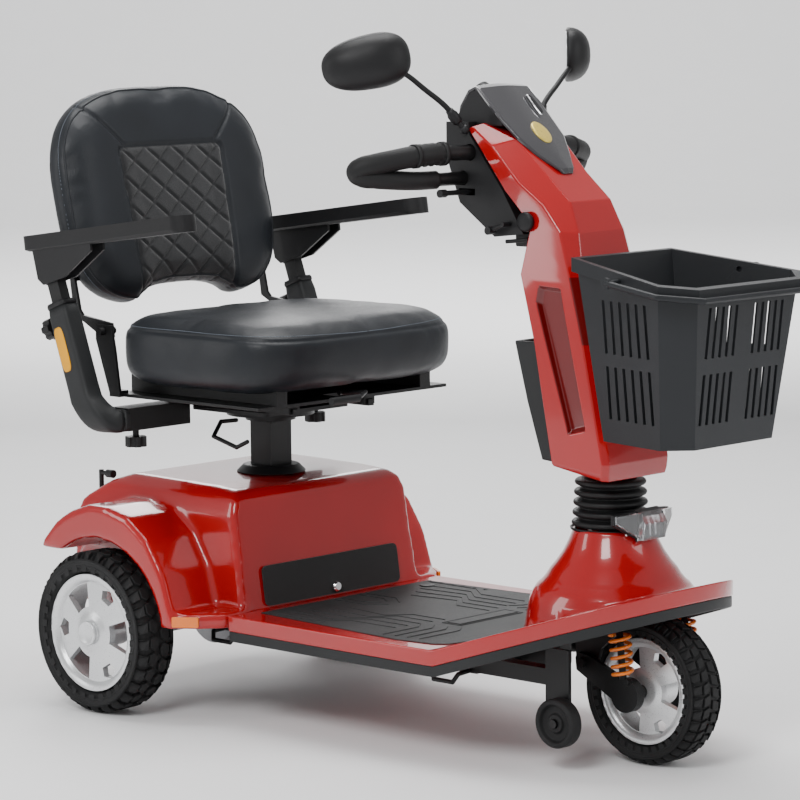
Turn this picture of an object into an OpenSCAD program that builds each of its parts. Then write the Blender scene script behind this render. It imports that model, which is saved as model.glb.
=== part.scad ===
// Three-wheel mobility scooter.
// +X is forward, +Y is the rider's left, +Z is up. The floor is z = 0.
// The rear wheels' axle is at x = rear_axle_x, and the scooter is symmetric about y = 0.

/* [Wheels] */
// Distance between the rear axle and the front axle
wheelbase = 876; // [860:1:890]
// Radius of the rear tyres
rear_tyre_r = 127; // [123:1:128]
// Width of the rear tyres
rear_tyre_w = 75; // [66:1:76]
// Overall width over the rear tyres
track_outer = 632; // [628:1:650]
// Radius of the front tyre
front_tyre_r = 108; // [104:1:109]
// Width of the front tyre
front_tyre_w = 66; // [58:1:70]
// Radius of the anti-tip wheels
anti_tip_r = 36; // [30:1:38]

/* [Floor] */
// Half the width of the foot deck
deck_half_w = 236; // [228:1:240]
// Height of the deck's top face
deck_top_z = 171; // [170:1:172]
// Front end of the deck's nose
deck_nose_x = 530; // [524:1:534]
// Rise of the nose for each millimetre forward
nose_rise = 0.32; // [0.31:0.01:0.34]

/* [Seat] */
// Height of the cushion's underside
cushion_z = 524; // [523:1:527]
// Thickness of the seat cushion
cushion_t = 94; // [86:1:96]
// Half the width of the seat cushion
cushion_half_w = 240; // [236:1:244]
// Half the width of the backrest
back_half_w = 224; // [216:1:226]
// Height of the backrest above its hinge
back_h = 390; // [372:1:396]
// Recline of the backrest in degrees
recline = 13; // [11:1:14]
// Lean of the armrest posts in degrees
post_lean = 20; // [19:1:21]

/* [Tiller] */
// Half the width of the tiller cover
tiller_half_w = 75; // [72:1:77]
// Height of the basket's rim
basket_top_z = 726; // [720:1:730]
// Wall thickness of the basket
basket_wall = 3; // [2.6:0.1:3.6]

/* [Hidden] */
$fn = 48;
rear_axle_x = -430;
front_axle_x = rear_axle_x + wheelbase;
// The whole scooter is moved by this much, so that x = 0 is the middle of its length.
centre_shift = -1.7;
shell_t = 3.6;
frame_top_z = 148;
tower_x = -338;
rake = 15;
steer_x = 366;
steer_z = 370;
tilt_x = 366;
tilt_z = 434;
hinge_x = -487;
hinge_z = 588;
post_x = -470;
post_z = 453;
post_y = 262;
pad_len = 324;
pad_y = 258;
deck_rear_x = -196;
nose_start_x = 225;
rim_h = 24;
trim_h = 16;

// ---------- helpers ----------

// A side profile, given as points [x, z], made solid from y0 to y1.
module side_prism(points, y0, y1)
    translate([0, y1, 0]) rotate([90, 0, 0]) linear_extrude(y1 - y0) polygon(points);

// A box from one corner to the opposite one.
module box(a, b) translate(a) cube(b - a);

// A straight round bar between two points.
module bar(p, q, d) {
    v = q - p;
    len = norm(v);
    translate(p) rotate([0, acos(v[2] / len), atan2(v[1], v[0])])
        cylinder(h = len, d = d);
}

// A round bar through a list of points, with a ball at each bend.
module bent_bar(points, d) {
    for (i = [0 : len(points) - 2]) bar(points[i], points[i + 1], d);
    for (i = [1 : len(points) - 2]) translate(points[i]) sphere(d = d * 1.03);
}

// A light bent rod through a list of points, as a chain of rounded links.
module rod_chain(points, d, sides = 12)
    for (i = [0 : len(points) - 2]) hull() {
        translate(points[i]) sphere(d = d, $fn = sides);
        translate(points[i + 1]) sphere(d = d, $fn = sides);
    }

// A cylinder along Y, centred at [x, y, z].
module y_disc(p, r, w) translate(p) rotate([90, 0, 0]) cylinder(h = w, r = r, center = true);

// A rectangle with rounded corners, centred on the origin.
module round_rect(l, w, r)
    union() {
        square([l - 2 * r, w], center = true);
        square([l, w - 2 * r], center = true);
        for (sx = [-1, 1], sy = [-1, 1])
            translate([sx * (l / 2 - r), sy * (w / 2 - r)]) circle(r);
    }

// Children placed in the steering axis' own frame, whose -Z runs down the axis.
module on_steering() translate([steer_x, 0, steer_z]) rotate([0, -rake, 0]) children();

// Children placed in the backrest's own frame, with Z up the backrest from its hinge.
module on_back() translate([hinge_x, 0, hinge_z]) rotate([0, -recline, 0]) children();

// Children placed in one armrest post's own frame; side is +1 for the left.
module on_post(side) translate([post_x, side * post_y, post_z]) rotate([0, -post_lean, 0]) children();

// ---------- floor ----------

// Plan of the deck: straight sides and a superellipse for the nose, inset by a margin.
function nose_arc(inset, from_x, steps = 28) = [
    for (i = [0 : steps])
        let (t = 90 - 180 * i / steps)
        [from_x + (deck_nose_x - inset - from_x) * pow(abs(cos(t)), 0.82),
         (deck_half_w - inset) * sign(sin(t)) * pow(abs(sin(t)), 0.82)]
];
module deck_plan(inset)
    polygon(concat([[deck_rear_x, -(deck_half_w - inset)], [deck_rear_x, deck_half_w - inset]],
                   nose_arc(inset, 150)));

// Band between two heights that follows the rising nose.
function band(z_low, z_high) = [
    [deck_rear_x - 5, z_low], [nose_start_x, z_low],
    [deck_nose_x + 20, z_low + nose_rise * (deck_nose_x + 20 - nose_start_x)],
    [deck_nose_x + 20, z_high + nose_rise * (deck_nose_x + 20 - nose_start_x)],
    [nose_start_x, z_high], [deck_rear_x - 5, z_high]
];
module deck_layer(inset, z_low, z_high)
    intersection() {
        translate([0, 0, 60]) linear_extrude(300) deck_plan(inset);
        side_prism(band(z_low, z_high), -300, 300);
    }

// Round opening in the deck for the steering yoke.
module yoke_hole() translate([386, 0, 100]) cylinder(h = 300, r = 94);

module floor_deck() color("firebrick") difference() {
    deck_layer(0, deck_top_z - rim_h, deck_top_z);
    deck_layer(shell_t, deck_top_z - rim_h - 2, deck_top_z - shell_t);
    yoke_hole();
    box([250, -28, 130], [300, 28, 230]);
}

module deck_trim() color("dimgray") difference() {
    deck_layer(1.5, deck_top_z - rim_h - trim_h, deck_top_z - rim_h);
    deck_layer(6, deck_top_z - rim_h - trim_h - 2, deck_top_z - rim_h + 2);
}

module deck_mat() color("darkslategray") difference() {
    translate([0, 0, deck_top_z]) linear_extrude(3)
        polygon([[-176, -190], [-176, 190], [130, 212], [205, 200], [222, 150], [222, 132],
                 [222, -132], [222, -150], [205, -200], [130, -212]]);
    translate([cone_x, 0, 150]) cylinder(h = 60, r = 136);
}

// ---------- chassis ----------

tube_y = 110;

// Gooseneck from the floor frame up to the steering head, inside the front cover.
module neck() {
    box([200, -26, 120], [262, 26, 146]);
    hull() {
        box([254, -24, 120], [270, 24, 160]);
        box([262, -24, 150], [270, 24, 190]);
    }
    hull() {
        box([262, -22, 152], [270, 22, 190]);
        box([322, -22, 266], [330, 22, 300]);
    }
    box([322, -22, 266], [374, 22, 300]);
}

module chassis_frame() color("#222222") {
    difference() {
        union() {
            for (s = [-1, 1]) {
                box([-366, s * tube_y - 15, 118], [214, s * tube_y + 15, frame_top_z]);
                box([-366, s * 60 - 8, 118], [-340, s * 60 + 8, frame_top_z]);
            }
            for (x = [-366, -190, 186]) box([x, -tube_y, 120], [x + 28, tube_y, 146]);
            box([-404, -190, 148], [-212, 190, 151]);
            translate([tower_x, 0, 118]) linear_extrude(320) square(46, center = true);
            neck();
            on_steering() translate([0, 0, -112]) cylinder(h = 96, r = 24);
            for (s = [-1, 1]) anti_tip_bracket(s);
            for (s = [-1, 1], x = [150, -320]) tie_down(x, s);
        }
        translate([tower_x, 0, 112]) cylinder(h = 340, r = 17.6);
        on_steering() translate([0, 0, -130]) cylinder(h = 140, r = 13.6);
        y_disc([rear_axle_x, 0, rear_tyre_r], 55, 98);
    }
}

// Upright bracket that carries one anti-tip wheel beside the front wheel.
module anti_tip_bracket(s) {
    box([186, s * 113 - 12, 120], [352, s * 113 + 12, 144]);
    box([350, min(s * 101, s * 128), 60], [355, max(s * 101, s * 128), 176]);
    box([350, min(s * 122, s * 128), 60], [394, max(s * 122, s * 128), 176]);
    y_disc([386, s * 125, 72], 14, 6);
    y_disc([386, s * 139.5, 72], 6, 29);
}

// Wire loop for tie-down straps, hanging from the frame.
module tie_down(x, s)
    rod_chain([[x, s * 116, 122], [x, s * 150, 120], [x + 6, s * 156, 108],
               [x + 44, s * 156, 108], [x + 50, s * 150, 120], [x + 50, s * 116, 122]], 7);

module batteries() color("#3a3f46") for (s = [-1, 1]) {
    box([-402, min(s * 66, s * 182), 152], [-234, max(s * 66, s * 182), 300]);
    for (x = [-384, -252]) translate([x, s * 90, 300]) cylinder(h = 10, r = 6);
}

module transaxle() color("#4a4a4a") {
    y_disc([rear_axle_x, 0, rear_tyre_r], 54, 96);
    for (s = [-1, 1]) y_disc([rear_axle_x, s * 139, rear_tyre_r], 22, 184);
    for (s = [-1, 1]) box([rear_axle_x - 20, s * 60 - 7, 118], [-370, s * 60 + 7, 146]);
    translate([-570, 0, 150]) rotate([0, 90, 0]) cylinder(h = 96, r = 42);
}

module freewheel_lever() color("#151515") {
    bar([-556, -168, 300], [-556, -168, 357], 8);
    bar([-556, -168, 352], [-534, -168, 352], 7);
    bar([-541, -168, 352], [-527, -168, 352], 13);
}

// ---------- covers ----------

hump = [[-200, 150], [-203, 170], [-228, 338], [-244, 350], [-300, 355], [-484, 358],
        [-520, 346], [-576, 312], [-590, 290], [-598, 150]];
hump_inner = [[-204, 140], [-207, 170], [-231, 335], [-246, 346], [-300, 351], [-483, 354],
              [-518, 342], [-573, 309], [-586, 288], [-594, 140]];

// The hump's cross-section, with softened shoulders, inset by a margin.
module hump_section(m)
    translate([-700, 0, 0]) rotate([90, 0, 90]) linear_extrude(600)
        polygon([[-200 + m, 130], [-193 + m, 318], [-184 + m, 340], [-164 + m, 356 - m / 2],
                 [-120, 370], [120, 370],
                 [164 - m, 356 - m / 2], [184 - m, 340], [193 - m, 318], [200 - m, 130]]);

module fender(s) {
    side = [[-262, 150], [-268, 176], [-285, 226], [-318, 270], [-360, 296], [-410, 306],
            [-450, 305], [-486, 290], [-520, 268], [-548, 240], [-572, 190], [-590, 150]];
    side_prism(side, min(s * 199, s * 296), max(s * 199, s * 296));
    translate([0, 0, 150]) linear_extrude(24)
        polygon([[-200, s * 199], [-200, s * 236], [-226, s * 268], [-262, s * 292],
                 [-300, s * 292], [-300, s * 199]]);
}

module fender_inner(s) {
    side = [[-264, 146], [-272, 176], [-289, 224], [-321, 266], [-362, 292], [-411, 302],
            [-449, 301], [-484, 286], [-517, 265], [-545, 238], [-568, 190], [-586, 146]];
    side_prism(side, min(s * 198, s * 292), max(s * 198, s * 292));
    translate([0, 0, 146]) linear_extrude(24)
        polygon([[-204, s * 198], [-204, s * 233], [-228, s * 264], [-264, s * 288],
                 [-300, s * 288], [-300, s * 198]]);
}

module rear_shroud() color("firebrick") difference() {
    union() {
        difference() {
            intersection() {
                side_prism(hump, -200, 200);
                hump_section(0);
            }
            intersection() {
                side_prism(hump_inner, -199, 199);
                hump_section(4);
            }
        }
        for (s = [-1, 1]) difference() {
            fender(s);
            fender_inner(s);
        }
    }
    for (s = [-1, 1]) {
        y_disc([rear_axle_x, s * 270, rear_tyre_r], 146, 120);
        box([-700, min(s * 204, s * 400), 100], [-500, max(s * 204, s * 400), 246]);
    }
    box([-700, -400, 60], [-190, 400, 150]);
    translate([tower_x, 0, 340]) cylinder(h = 40, r = 36);
    translate([-556, -168, 300]) cylinder(h = 60, r = 7);
    translate([-199, 0, 184]) rotate([0, -83, 0]) cylinder(h = 12, r = 6.3);
}

module seat_post_collar() color("#141414") difference() {
    translate([tower_x, 0, 356.8]) cylinder(h = 12, r1 = 56, r2 = 44);
    translate([tower_x, 0, 350]) linear_extrude(30) square(47, center = true);
}

// Upright face of the shroud, where the kick panel lies: origin at the panel's lower edge.
module on_kick_face() translate([-203.4, 0, 172]) rotate([0, -8.3, 0]) children();

module kick_panel() color("#1b1b1b") on_kick_face() difference() {
    translate([1.2, 0, 32]) rotate([90, 0, 90]) linear_extrude(4) round_rect(300, 62, 9);
    translate([-2, 0, 12]) rotate([0, 90, 0]) cylinder(h = 12, r = 6.3);
}

module panel_knob() color("silver") on_kick_face() translate([5.6, 0, 12]) rotate([0, 90, 0]) {
    translate([0, 0, -11]) cylinder(h = 13, r = 4);
    cylinder(h = 6, r = 8);
    translate([0, 0, 6]) cylinder(h = 3, r1 = 8, r2 = 6);
}

module side_reflectors() color("orange") for (m = [0, 1]) mirror([0, m, 0])
    translate([-244, 280, 154]) rotate([0, 0, -33.7]) translate([-21, 0.2, 0]) cube([42, 5, 16]);

// Flared cover over the steering head, standing on the deck.
cone_x = 372;
module cone_profile(t) polygon([[0, 338], [60 - t, 338 - t], [93 - t, 284 - t], [104 - t, 276 - t],
                                [118 - t, 236], [134 - t, 150], [0, 150]]);
module front_shroud() color("firebrick") difference() {
    intersection() {
        difference() {
            translate([cone_x, 0, 0]) rotate_extrude() cone_profile(0);
            translate([cone_x, 0, -0.01]) rotate_extrude() cone_profile(shell_t);
            on_steering() translate([0, 0, -60]) cylinder(h = 60, r = 38);
        }
        side_prism(band(deck_top_z + 0.4, 420), -300, 300);
    }
    box([436, -40, 318], [470, 40, 400]);
}

module headlight_housing() color("#1a1a1a") difference() {
    union() {
        side_prism([[402, 330], [402, 344], [432, 372], [440, 368], [436, 326], [428, 318]], -26, 26);
        for (s = [-1, 1]) hull() {
            box([426, min(s * 20, s * 26), 330], [436, max(s * 20, s * 26), 370]);
            box([418, min(s * 56, s * 62), 352], [424, max(s * 56, s * 62), 366]);
        }
    }
    translate([steer_x, 0, 300]) cylinder(h = 100, r = 58.6);
    translate([cone_x, 0, 0]) rotate_extrude() cone_profile(-0.4);
}

module headlight_lens() color("white") {
    side_prism([[441, 369], [452, 352], [448, 328], [437, 327]], -25, 25);
    for (s = [-1, 1]) hull() {
        box([439, min(s * 25.4, s * 26), 331], [447, max(s * 25.4, s * 26), 368]);
        box([427, min(s * 57, s * 63), 354], [430, max(s * 57, s * 63), 365]);
    }
}

// ---------- wheels ----------

// Tyre turned about its own Z axis, with a rounded tread and plain sidewalls.
module tyre(r, w, rim_r) rotate_extrude() polygon([
    [rim_r, -w / 2 + 6], [rim_r + 5, -w / 2 + 1], [r - 18, -w / 2], [r - 7, -w / 2 + 3],
    [r - 1, -w / 2 + 12], [r, 0], [r - 1, w / 2 - 12], [r - 7, w / 2 - 3],
    [r - 18, w / 2], [rim_r + 5, w / 2 - 1], [rim_r, w / 2 - 6]]);

// Tread grooves of the same tyre.
module tread_grooves(r, w) for (i = [0 : 15]) rotate([0, 0, i * 22.5]) {
    translate([r - 3, -4, w / 2 - 17]) cube([8, 8, 20]);
    translate([r - 3, -4, -w / 2 - 3]) cube([8, 8, 20]);
}

// Cast rim with six windows, its outer face towards +Z, on a shaft or bore of radius bore_r.
module rim(rim_r, w, bore_r) difference() {
    union() {
        rotate_extrude() polygon([
            [bore_r, -w / 2 + 8], [26, -w / 2 + 8], [30, w / 2 - 22], [rim_r - 9, w / 2 - 24],
            [rim_r - 9, -w / 2 + 8], [rim_r - 4, -w / 2 + 6], [rim_r - 0.02, -w / 2 + 6.5],
            [rim_r - 0.02, w / 2 - 6.5], [rim_r - 4, w / 2 - 6], [rim_r - 9, w / 2 - 8],
            [rim_r - 14, w / 2 - 14], [34, w / 2 - 10], [22, w / 2 - 6], [bore_r, w / 2 - 6]]);
    }
    for (i = [0 : 2]) rotate([0, 0, i * 120]) translate([0, 0, -w]) linear_extrude(2 * w) {
        intersection() {
            difference() {
                circle(rim_r - 15);
                circle(rim_r * 0.44);
            }
            polygon([[0, 0], [2 * rim_r, 0.72 * rim_r], [2 * rim_r, -0.72 * rim_r]]);
        }
        rotate(60) polygon([[rim_r * 0.62, -rim_r * 0.1], [rim_r * 0.62, rim_r * 0.1],
                            [rim_r * 0.76, rim_r * 0.16], [rim_r * 0.86, 0],
                            [rim_r * 0.76, -rim_r * 0.16]]);
    }
}

rear_rim_r = 92;
rear_wheel_y = track_outer / 2 - rear_tyre_w / 2;
// Children placed at a rear wheel, with Z pointing outwards.
module at_rear_wheel(s)
    translate([rear_axle_x, s * rear_wheel_y, rear_tyre_r]) rotate([s * -90, 0, 0]) children();

module rear_tyre(s) color("#1c1c1c") at_rear_wheel(s) difference() {
    tyre(rear_tyre_r, rear_tyre_w, rear_rim_r);
    tread_grooves(rear_tyre_r, rear_tyre_w);
}
module rear_tyre_left() rear_tyre(1);
module rear_tyre_right() rear_tyre(-1);

// Rim with its hub cap and the half shaft that drives it.
module rear_rim(s) color("silver") at_rear_wheel(s) {
    rim(rear_rim_r, rear_tyre_w, 0);
    translate([0, 0, rear_tyre_w / 2 - 6.2]) cylinder(h = 8, r1 = 19, r2 = 15);
    translate([0, 0, -rear_wheel_y + 232]) cylinder(h = rear_wheel_y - 232, r = 10);
}
module rear_rim_left() rear_rim(1);
module rear_rim_right() rear_rim(-1);

front_rim_r = 78;
module at_front_wheel() translate([front_axle_x, 0, front_tyre_r]) rotate([90, 0, 0]) children();

module front_tyre() color("#1c1c1c") at_front_wheel() difference() {
    tyre(front_tyre_r, front_tyre_w, front_rim_r);
    tread_grooves(front_tyre_r, front_tyre_w);
}

module front_rim() color("silver") at_front_wheel() difference() {
    rim(front_rim_r, front_tyre_w, 10.05);
    translate([0, 0, -60]) cylinder(h = 120, r = 10.05);
}

// One anti-tip wheel on its bracket's pin.
module anti_tip_wheel(s) color("#181818") translate([386, s * 141.5, 72]) rotate([90, 0, 0])
    difference() {
        rotate_extrude() polygon([
            [6.05, -9], [13, -9], [15, -4], [25, -4], [28, -11], [anti_tip_r - 3, -12],
            [anti_tip_r, -9], [anti_tip_r, 9], [anti_tip_r - 3, 12], [28, 11], [25, 4],
            [15, 4], [13, 9], [6.05, 9]]);
        translate([0, 0, -20]) cylinder(h = 40, r = 6.05);
    }
module anti_tip_wheel_left() anti_tip_wheel(1);
module anti_tip_wheel_right() anti_tip_wheel(-1);

// ---------- front suspension and steering ----------

arm_pivot = [366, 0, 146];
leg_y = 47;

module steering_yoke() color("#202020") {
    on_steering() {
        translate([0, 0, -124]) cylinder(h = 174, r = 13.5);
        difference() {
            translate([-66, -52, -136]) cube([90, 104, 12]);
            translate([-54, -20, -140]) cube([22, 40, 20]);
        }
    }
    for (s = [-1, 1]) difference() {
        side_prism([[346, 132], [380, 132], [392, 168], [456, 222], [452, 238], [420, 249],
                    [341, 228]], min(s * leg_y, s * 54), max(s * leg_y, s * 54));
        y_disc([arm_pivot[0], s * 50, arm_pivot[2]], 8.05, 20);
    }
    for (s = [-1, 1]) y_disc([440, s * 65, 226], 5, 26);
    difference() {
        box([tilt_x - 18, -15, tilt_z - 18], [tilt_x + 18, 15, tilt_z + 18]);
        y_disc([tilt_x, 0, tilt_z], 8.05, 80);
    }
}

module swing_arm() color("#181818") {
    for (s = [-1, 1]) {
        y_disc(arm_pivot + [0, s * 58, 0], 8, 24);
        side_prism([[352, 152], [358, 160], [376, 158], [452, 126], [470, 108], [460, 92],
                    [438, 90], [354, 134]], min(s * 56, s * 64), max(s * 56, s * 64));
        y_disc([front_axle_x, s * 59, front_tyre_r], 25, 16);
        y_disc([452, s * 66, 128], 5, 8);
    }
    y_disc([front_axle_x, 0, front_tyre_r], 10, 104);
}

// Pair of coil springs between the swing arm and the yoke.
spring_turns = 5;
spring_r = 14;
spring_pitch = 14;
module suspension_spring() color("darkorange") for (s = [-1, 1])
    translate([451, s * 74.5, 140]) rotate([0, -6, 0]) for (i = [0 : spring_turns - 1]) {
        translate([0, 0, i * spring_pitch]) rotate_extrude() translate([spring_r, 0]) circle(d = 5);
        if (i < spring_turns - 1) translate([spring_r * pow(-1, i), 0, i * spring_pitch])
            cylinder(h = spring_pitch, d = 4.4);
    }

// Folded rubber boot between the front cover and the tiller.
fold_h = 15;
module bellows() color("#101010") translate([steer_x, 0, 338.3]) difference() {
    rotate_extrude() polygon(concat(
        [[44, 0], [56, 0]],
        [for (i = [0 : 4]) each [[57 - i * 1.2, 4 + i * fold_h], [46 - i * 1.2, 10 + i * fold_h]]],
        [[50, 75], [50, 94], [38, 94]], [for (i = [4 : -1 : 0]) [41 - i * 1.2, 8 + i * fold_h]]));
    translate([0, 0, 92.4]) rotate([0, 9.3, 0]) cube([200, 200, 20], center = true);
}

// ---------- tiller ----------

// Side outline of the red cover, from the bottom up the front and down the rear.
cover_side = [[318, 430], [416, 414], [420, 440], [352, 768], [332, 815], [286, 852], [212, 918],
              [160, 924.4], [158, 914], [228, 826], [276, 776], [258, 706], [284, 610]];
cover_inner = [[316, 424], [412, 408], [416, 440], [348, 767], [329, 812], [283, 848], [210, 914],
               [150, 922], [150, 906], [226, 820], [270, 776], [252, 706], [278, 610]];

module tiller_cover() color("firebrick") difference() {
    side_prism(cover_side, -tiller_half_w, tiller_half_w);
    box([350, -19, bracket_z - 1], [400, 19, bracket_z + 8]);
    side_prism(cover_inner, -tiller_half_w + shell_t, tiller_half_w - shell_t);
    for (s = [-1, 1]) {
        side_prism([[352, 476], [386, 482], [334, 700], [292, 690], [286, 668]],
                   min(s * (tiller_half_w - 1.6), s * 90), max(s * (tiller_half_w - 1.6), s * 90));
        translate(mirror_ball(s)) sphere(d = 16.4);
    }
}

module tiller_back_cover() color("#262626") difference() {
    side_prism([[314.6, 434], [290, 436], [262, 520], [238, 608], [278.6, 608]], -66, 66);
    side_prism([[309, 440], [294, 440], [268, 520], [262, 540], [284, 540], [288, 522]], -62, 62);
    side_prism([[258, 552], [276, 552], [272, 620], [242, 620]], -58, 58);
}

// Steel mast of the tiller with its hinge block, inside the covers.
module tiller_tube() color("#2c2c2c") {
    difference() {
        union() {
            bar([tilt_x, 0, tilt_z], [306, 0, 584], 38);
            bar([306, 0, 584], [300, 0, 700], 38);
            translate([306, 0, 584]) sphere(d = 39);
            bar([300, 0, 700], [226, 0, 856], 38);
            translate([300, 0, 700]) sphere(d = 39);
            bar([226, 0, 856], [166, 0, 862], 24);
            y_disc([tilt_x, 0, tilt_z], 18, 58);
        }
        box([tilt_x - 60, -15.4, 380], [tilt_x + 60, 15.4, 462]);
    }
    y_disc([tilt_x, 0, tilt_z], 8, 58);
    basket_bracket();
}

// Lipped bracket through the cover, for the basket's hook.
bracket_z = 640;
module basket_bracket() {
    box([306, -18, bracket_z], [392, 18, bracket_z + 7]);
    box([386, -18, bracket_z], [392, 18, bracket_z + 24]);
}

module dash_panel() color("#3b3d42") difference() {
    side_prism([[284, 855], [286, 858], [214, 928], [166, 978], [138, 974], [116, 946], [114, 928],
                [214, 922]], -58, 58);
    side_prism([[206, 918], [206, 924], [164, 971], [141, 968], [121, 943], [118, 918]], -54.5, 54.5);
    on_dash(0) translate([0, 0, -30]) cylinder(h = 60, r = 4.2);
    on_dash(36) translate([0, 0, -30]) cylinder(h = 60, r = 4.2);
}

throttle_x = 152;
throttle_z = 822;
module head_housing() color("#1e1e20") difference() {
    union() {
        side_prism([[262, 764], [222, 826], [158, 906], [156, 924], [112, 924], [112, 874],
                    [138, 806], [206, 758]], -71, 71);
        for (s = [-1, 1]) y_disc([mirror_ball(s)[0] - 11, s * 71, 912], 9, 2.2);
    }
    side_prism([[250, 768], [219, 820], [154, 902], [150, 918], [117, 918], [117, 876], [141, 810],
                [207, 763]], -67, 67);
    bar([300, 0, 700], [226, 0, 856], 39);
    y_disc([158, 0, 880], 12.4, 160);
    y_disc([144, 0, 842], 10.8, 160);
    bar([240, 0, 854.6], [150, 0, 863.6], 25);
    box([throttle_x - 16, -90, throttle_z - 5], [throttle_x + 16, 90, throttle_z + 5]);
    y_disc([236, 0, 778], 3.7, 200);
}

grip_d = 32;
module handlebar() color("#2a2a2a") {
    bent_bar([[146, -150, 878], [150, -126, 880], [158, -78, 880], [158, 78, 880],
              [150, 126, 880], [146, 150, 878]], 22);
    bar([144, -150, 842], [144, 150, 842], 20);
    difference() {
        box([138, -18, 838], [164, 18, 884]);
        bar([158, -30, 880], [158, 30, 880], 21);
        bar([144, -30, 842], [144, 30, 842], 19);
    }
}

// Moulded grips that close each side's handle loop.
module handlebar_grips() color("#141414") for (s = [-1, 1]) difference() {
    rod_chain([[149, s * 135, 880], [140, s * 176, 877], [118, s * 226, 869], [101, s * 247, 860],
               [104, s * 244, 850], [124, s * 200, 844], [144, s * 136, 842]], grip_d - 2, 16);
    bar([151.2, s * 118, 880.4], [143.5, s * 166, 876.4], 24);
    bar([144, s * 118, 842], [144, s * 151, 842], 20.6);
}

module throttle_lever() color("#101010") {
    bar([throttle_x, -126, throttle_z], [throttle_x, 126, throttle_z], 8);
    for (s = [-1, 1]) y_disc([throttle_x, s * 124, throttle_z], 6, 12);
    translate([throttle_x, 0, throttle_z - 4.6]) cylinder(h = 9.2, r = 7);
}

module on_dash(y) translate([127, y, 960]) rotate([0, -52, 0]) children();

module speed_dial() color("#111111") on_dash(0) {
    translate([0, 0, -8]) cylinder(h = 12, r = 4);
    translate([0, 0, 1]) cylinder(h = 14, r1 = 17, r2 = 15);
    translate([-2, -13, 14]) cube([4, 26, 3]);
}

module ignition_key() color("silver") on_dash(36) {
    translate([0, 0, -8]) cylinder(h = 14, r = 4);
    translate([-1.5, -9, 4]) cube([3, 18, 16]);
}

module tilt_lever() color("#111111") {
    bar([236, -88, 778], [236, 66, 778], 7);
    bar([236, -83, 778], [208, -83, 768], 6);
    y_disc([208, -83, 768], 6, 12);
}

// ---------- basket ----------

basket_bottom_z = 478;
// Plan of the basket: a straight back, flared sides and chamfered front corners.
function basket_plan(back_x, front_x, back_w, front_w, cut, wall) = [
    [back_x + wall, -(back_w - wall)], [front_x - cut, -(front_w - wall)],
    [front_x - wall, -(front_w - cut)], [front_x - wall, front_w - cut],
    [front_x - cut, front_w - wall], [back_x + wall, back_w - wall]
];
module basket_block(grow) hull() {
    translate([0, 0, basket_bottom_z - grow]) linear_extrude(1)
        polygon(basket_plan(430, 592, 92, 122, 34, -grow));
    translate([0, 0, basket_top_z + 17]) linear_extrude(1)
        polygon(basket_plan(392, 622, 108, 158, 40, -grow));
}

handle_pivot = [500, 0, 712];

// The rim slopes down from the tiller towards the front.
rim_drop = 38;
module above_rim(lift) side_prism([
    [360, basket_top_z + 17 + lift], [640, basket_top_z + 17 - rim_drop + lift],
    [640, basket_top_z + 90], [360, basket_top_z + 90]], -200, 200);

module basket() color("#33363b") difference() {
    union() {
        basket_block(0);
        difference() {
            translate([0, 0, basket_top_z - 50]) linear_extrude(80)
                polygon(basket_plan(388, 629, 112, 165, 40, 0));
            translate([0, 0, -20]) difference() {
                box([300, -300, 400], [700, 300, 800]);
                above_rim(0);
            }
        }
        hook();
    }
    translate([0, 0, basket_wall + 1]) basket_block(-basket_wall);
    above_rim(0);
    y_disc(handle_pivot, 4, 320);
    for (z = [512, 606]) {
        for (i = [0 : 4], s = [-1, 1]) box([570, s * (22 + i * 15) - 3, z], [680, s * (22 + i * 15) + 3, z + 72]);
        for (i = [0 : 5]) box([448 + i * 19, -200, z], [454 + i * 19, 200, z + 76]);
    }
}

// Hook of the basket, over the lip of the tiller's bracket.
module hook() {
    box([379.4, -24, bracket_z + 25], [412, 24, bracket_z + 31]);
    box([379.4, -24, bracket_z + 10], [385.4, 24, bracket_z + 31]);
}

// Bail handle, folded forward over the rim.
module basket_handle() color("#2a2c30") {
    for (s = [-1, 1]) {
        y_disc([handle_pivot[0], s * 151, handle_pivot[2]], 3.95, 34);
        y_disc([handle_pivot[0], s * 169, handle_pivot[2]], 8, 5);
    }
    rod_chain([[500, -169, 712], [592, -173, 698], [640, -127, 692],
               [640, 127, 692], [592, 173, 698], [500, 169, 712]], 9);
}

// ---------- mirrors ----------

mirror_pos = [100, 229, 1008];
function mirror_ball(s) = [157, s * 80, 914];
module mirror_unit(s) color("#101010") {
    translate(mirror_ball(s)) sphere(d = 15);
    bar(mirror_ball(s), [149, s * 102, 940], 9);
    translate([149, s * 102, 940]) sphere(d = 9.3);
    bar([149, s * 102, 940], [134, s * 192, 1006], 8);
    translate([mirror_pos[0], s * mirror_pos[1], mirror_pos[2]]) rotate([0, 0, s * 43])
        mirror_shell();
}

// Oval mirror shell with its glass towards the rider.
module mirror_shell() intersection() {
    rotate([90, 0, 90]) translate([0, 0, -9]) linear_extrude(40) union() {
        for (y = [-26, 26]) translate([y, 0]) circle(40);
        square([52, 80], center = true);
    }
    translate([-74, 0, 0]) sphere(r = 106);
}
module mirror_left() mirror_unit(1);
module mirror_right() mirror_unit(-1);

// ---------- seat ----------

module seat_post() color("#8a8d90") {
    translate([tower_x, 0, 250]) cylinder(h = 196, r = 17.5);
    translate([tower_x, 0, 440]) cylinder(h = 8, r = 40);
    translate([tower_x, 0, 448]) cylinder(h = 24, r = 14);
}

module swivel_plate() color("#1d1d1f") difference() {
    union() {
        translate([tower_x, 0, 449]) cylinder(h = 12, r = 70);
        translate([tower_x, 0, 458]) linear_extrude(6) round_rect(170, 190, 10);
        for (s = [-1, 1]) box([-480, s * 84 - 6, 464], [-196, s * 84 + 6, 474]);
    }
    translate([tower_x, 0, 440]) cylinder(h = 40, r = 14.1);
}

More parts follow.
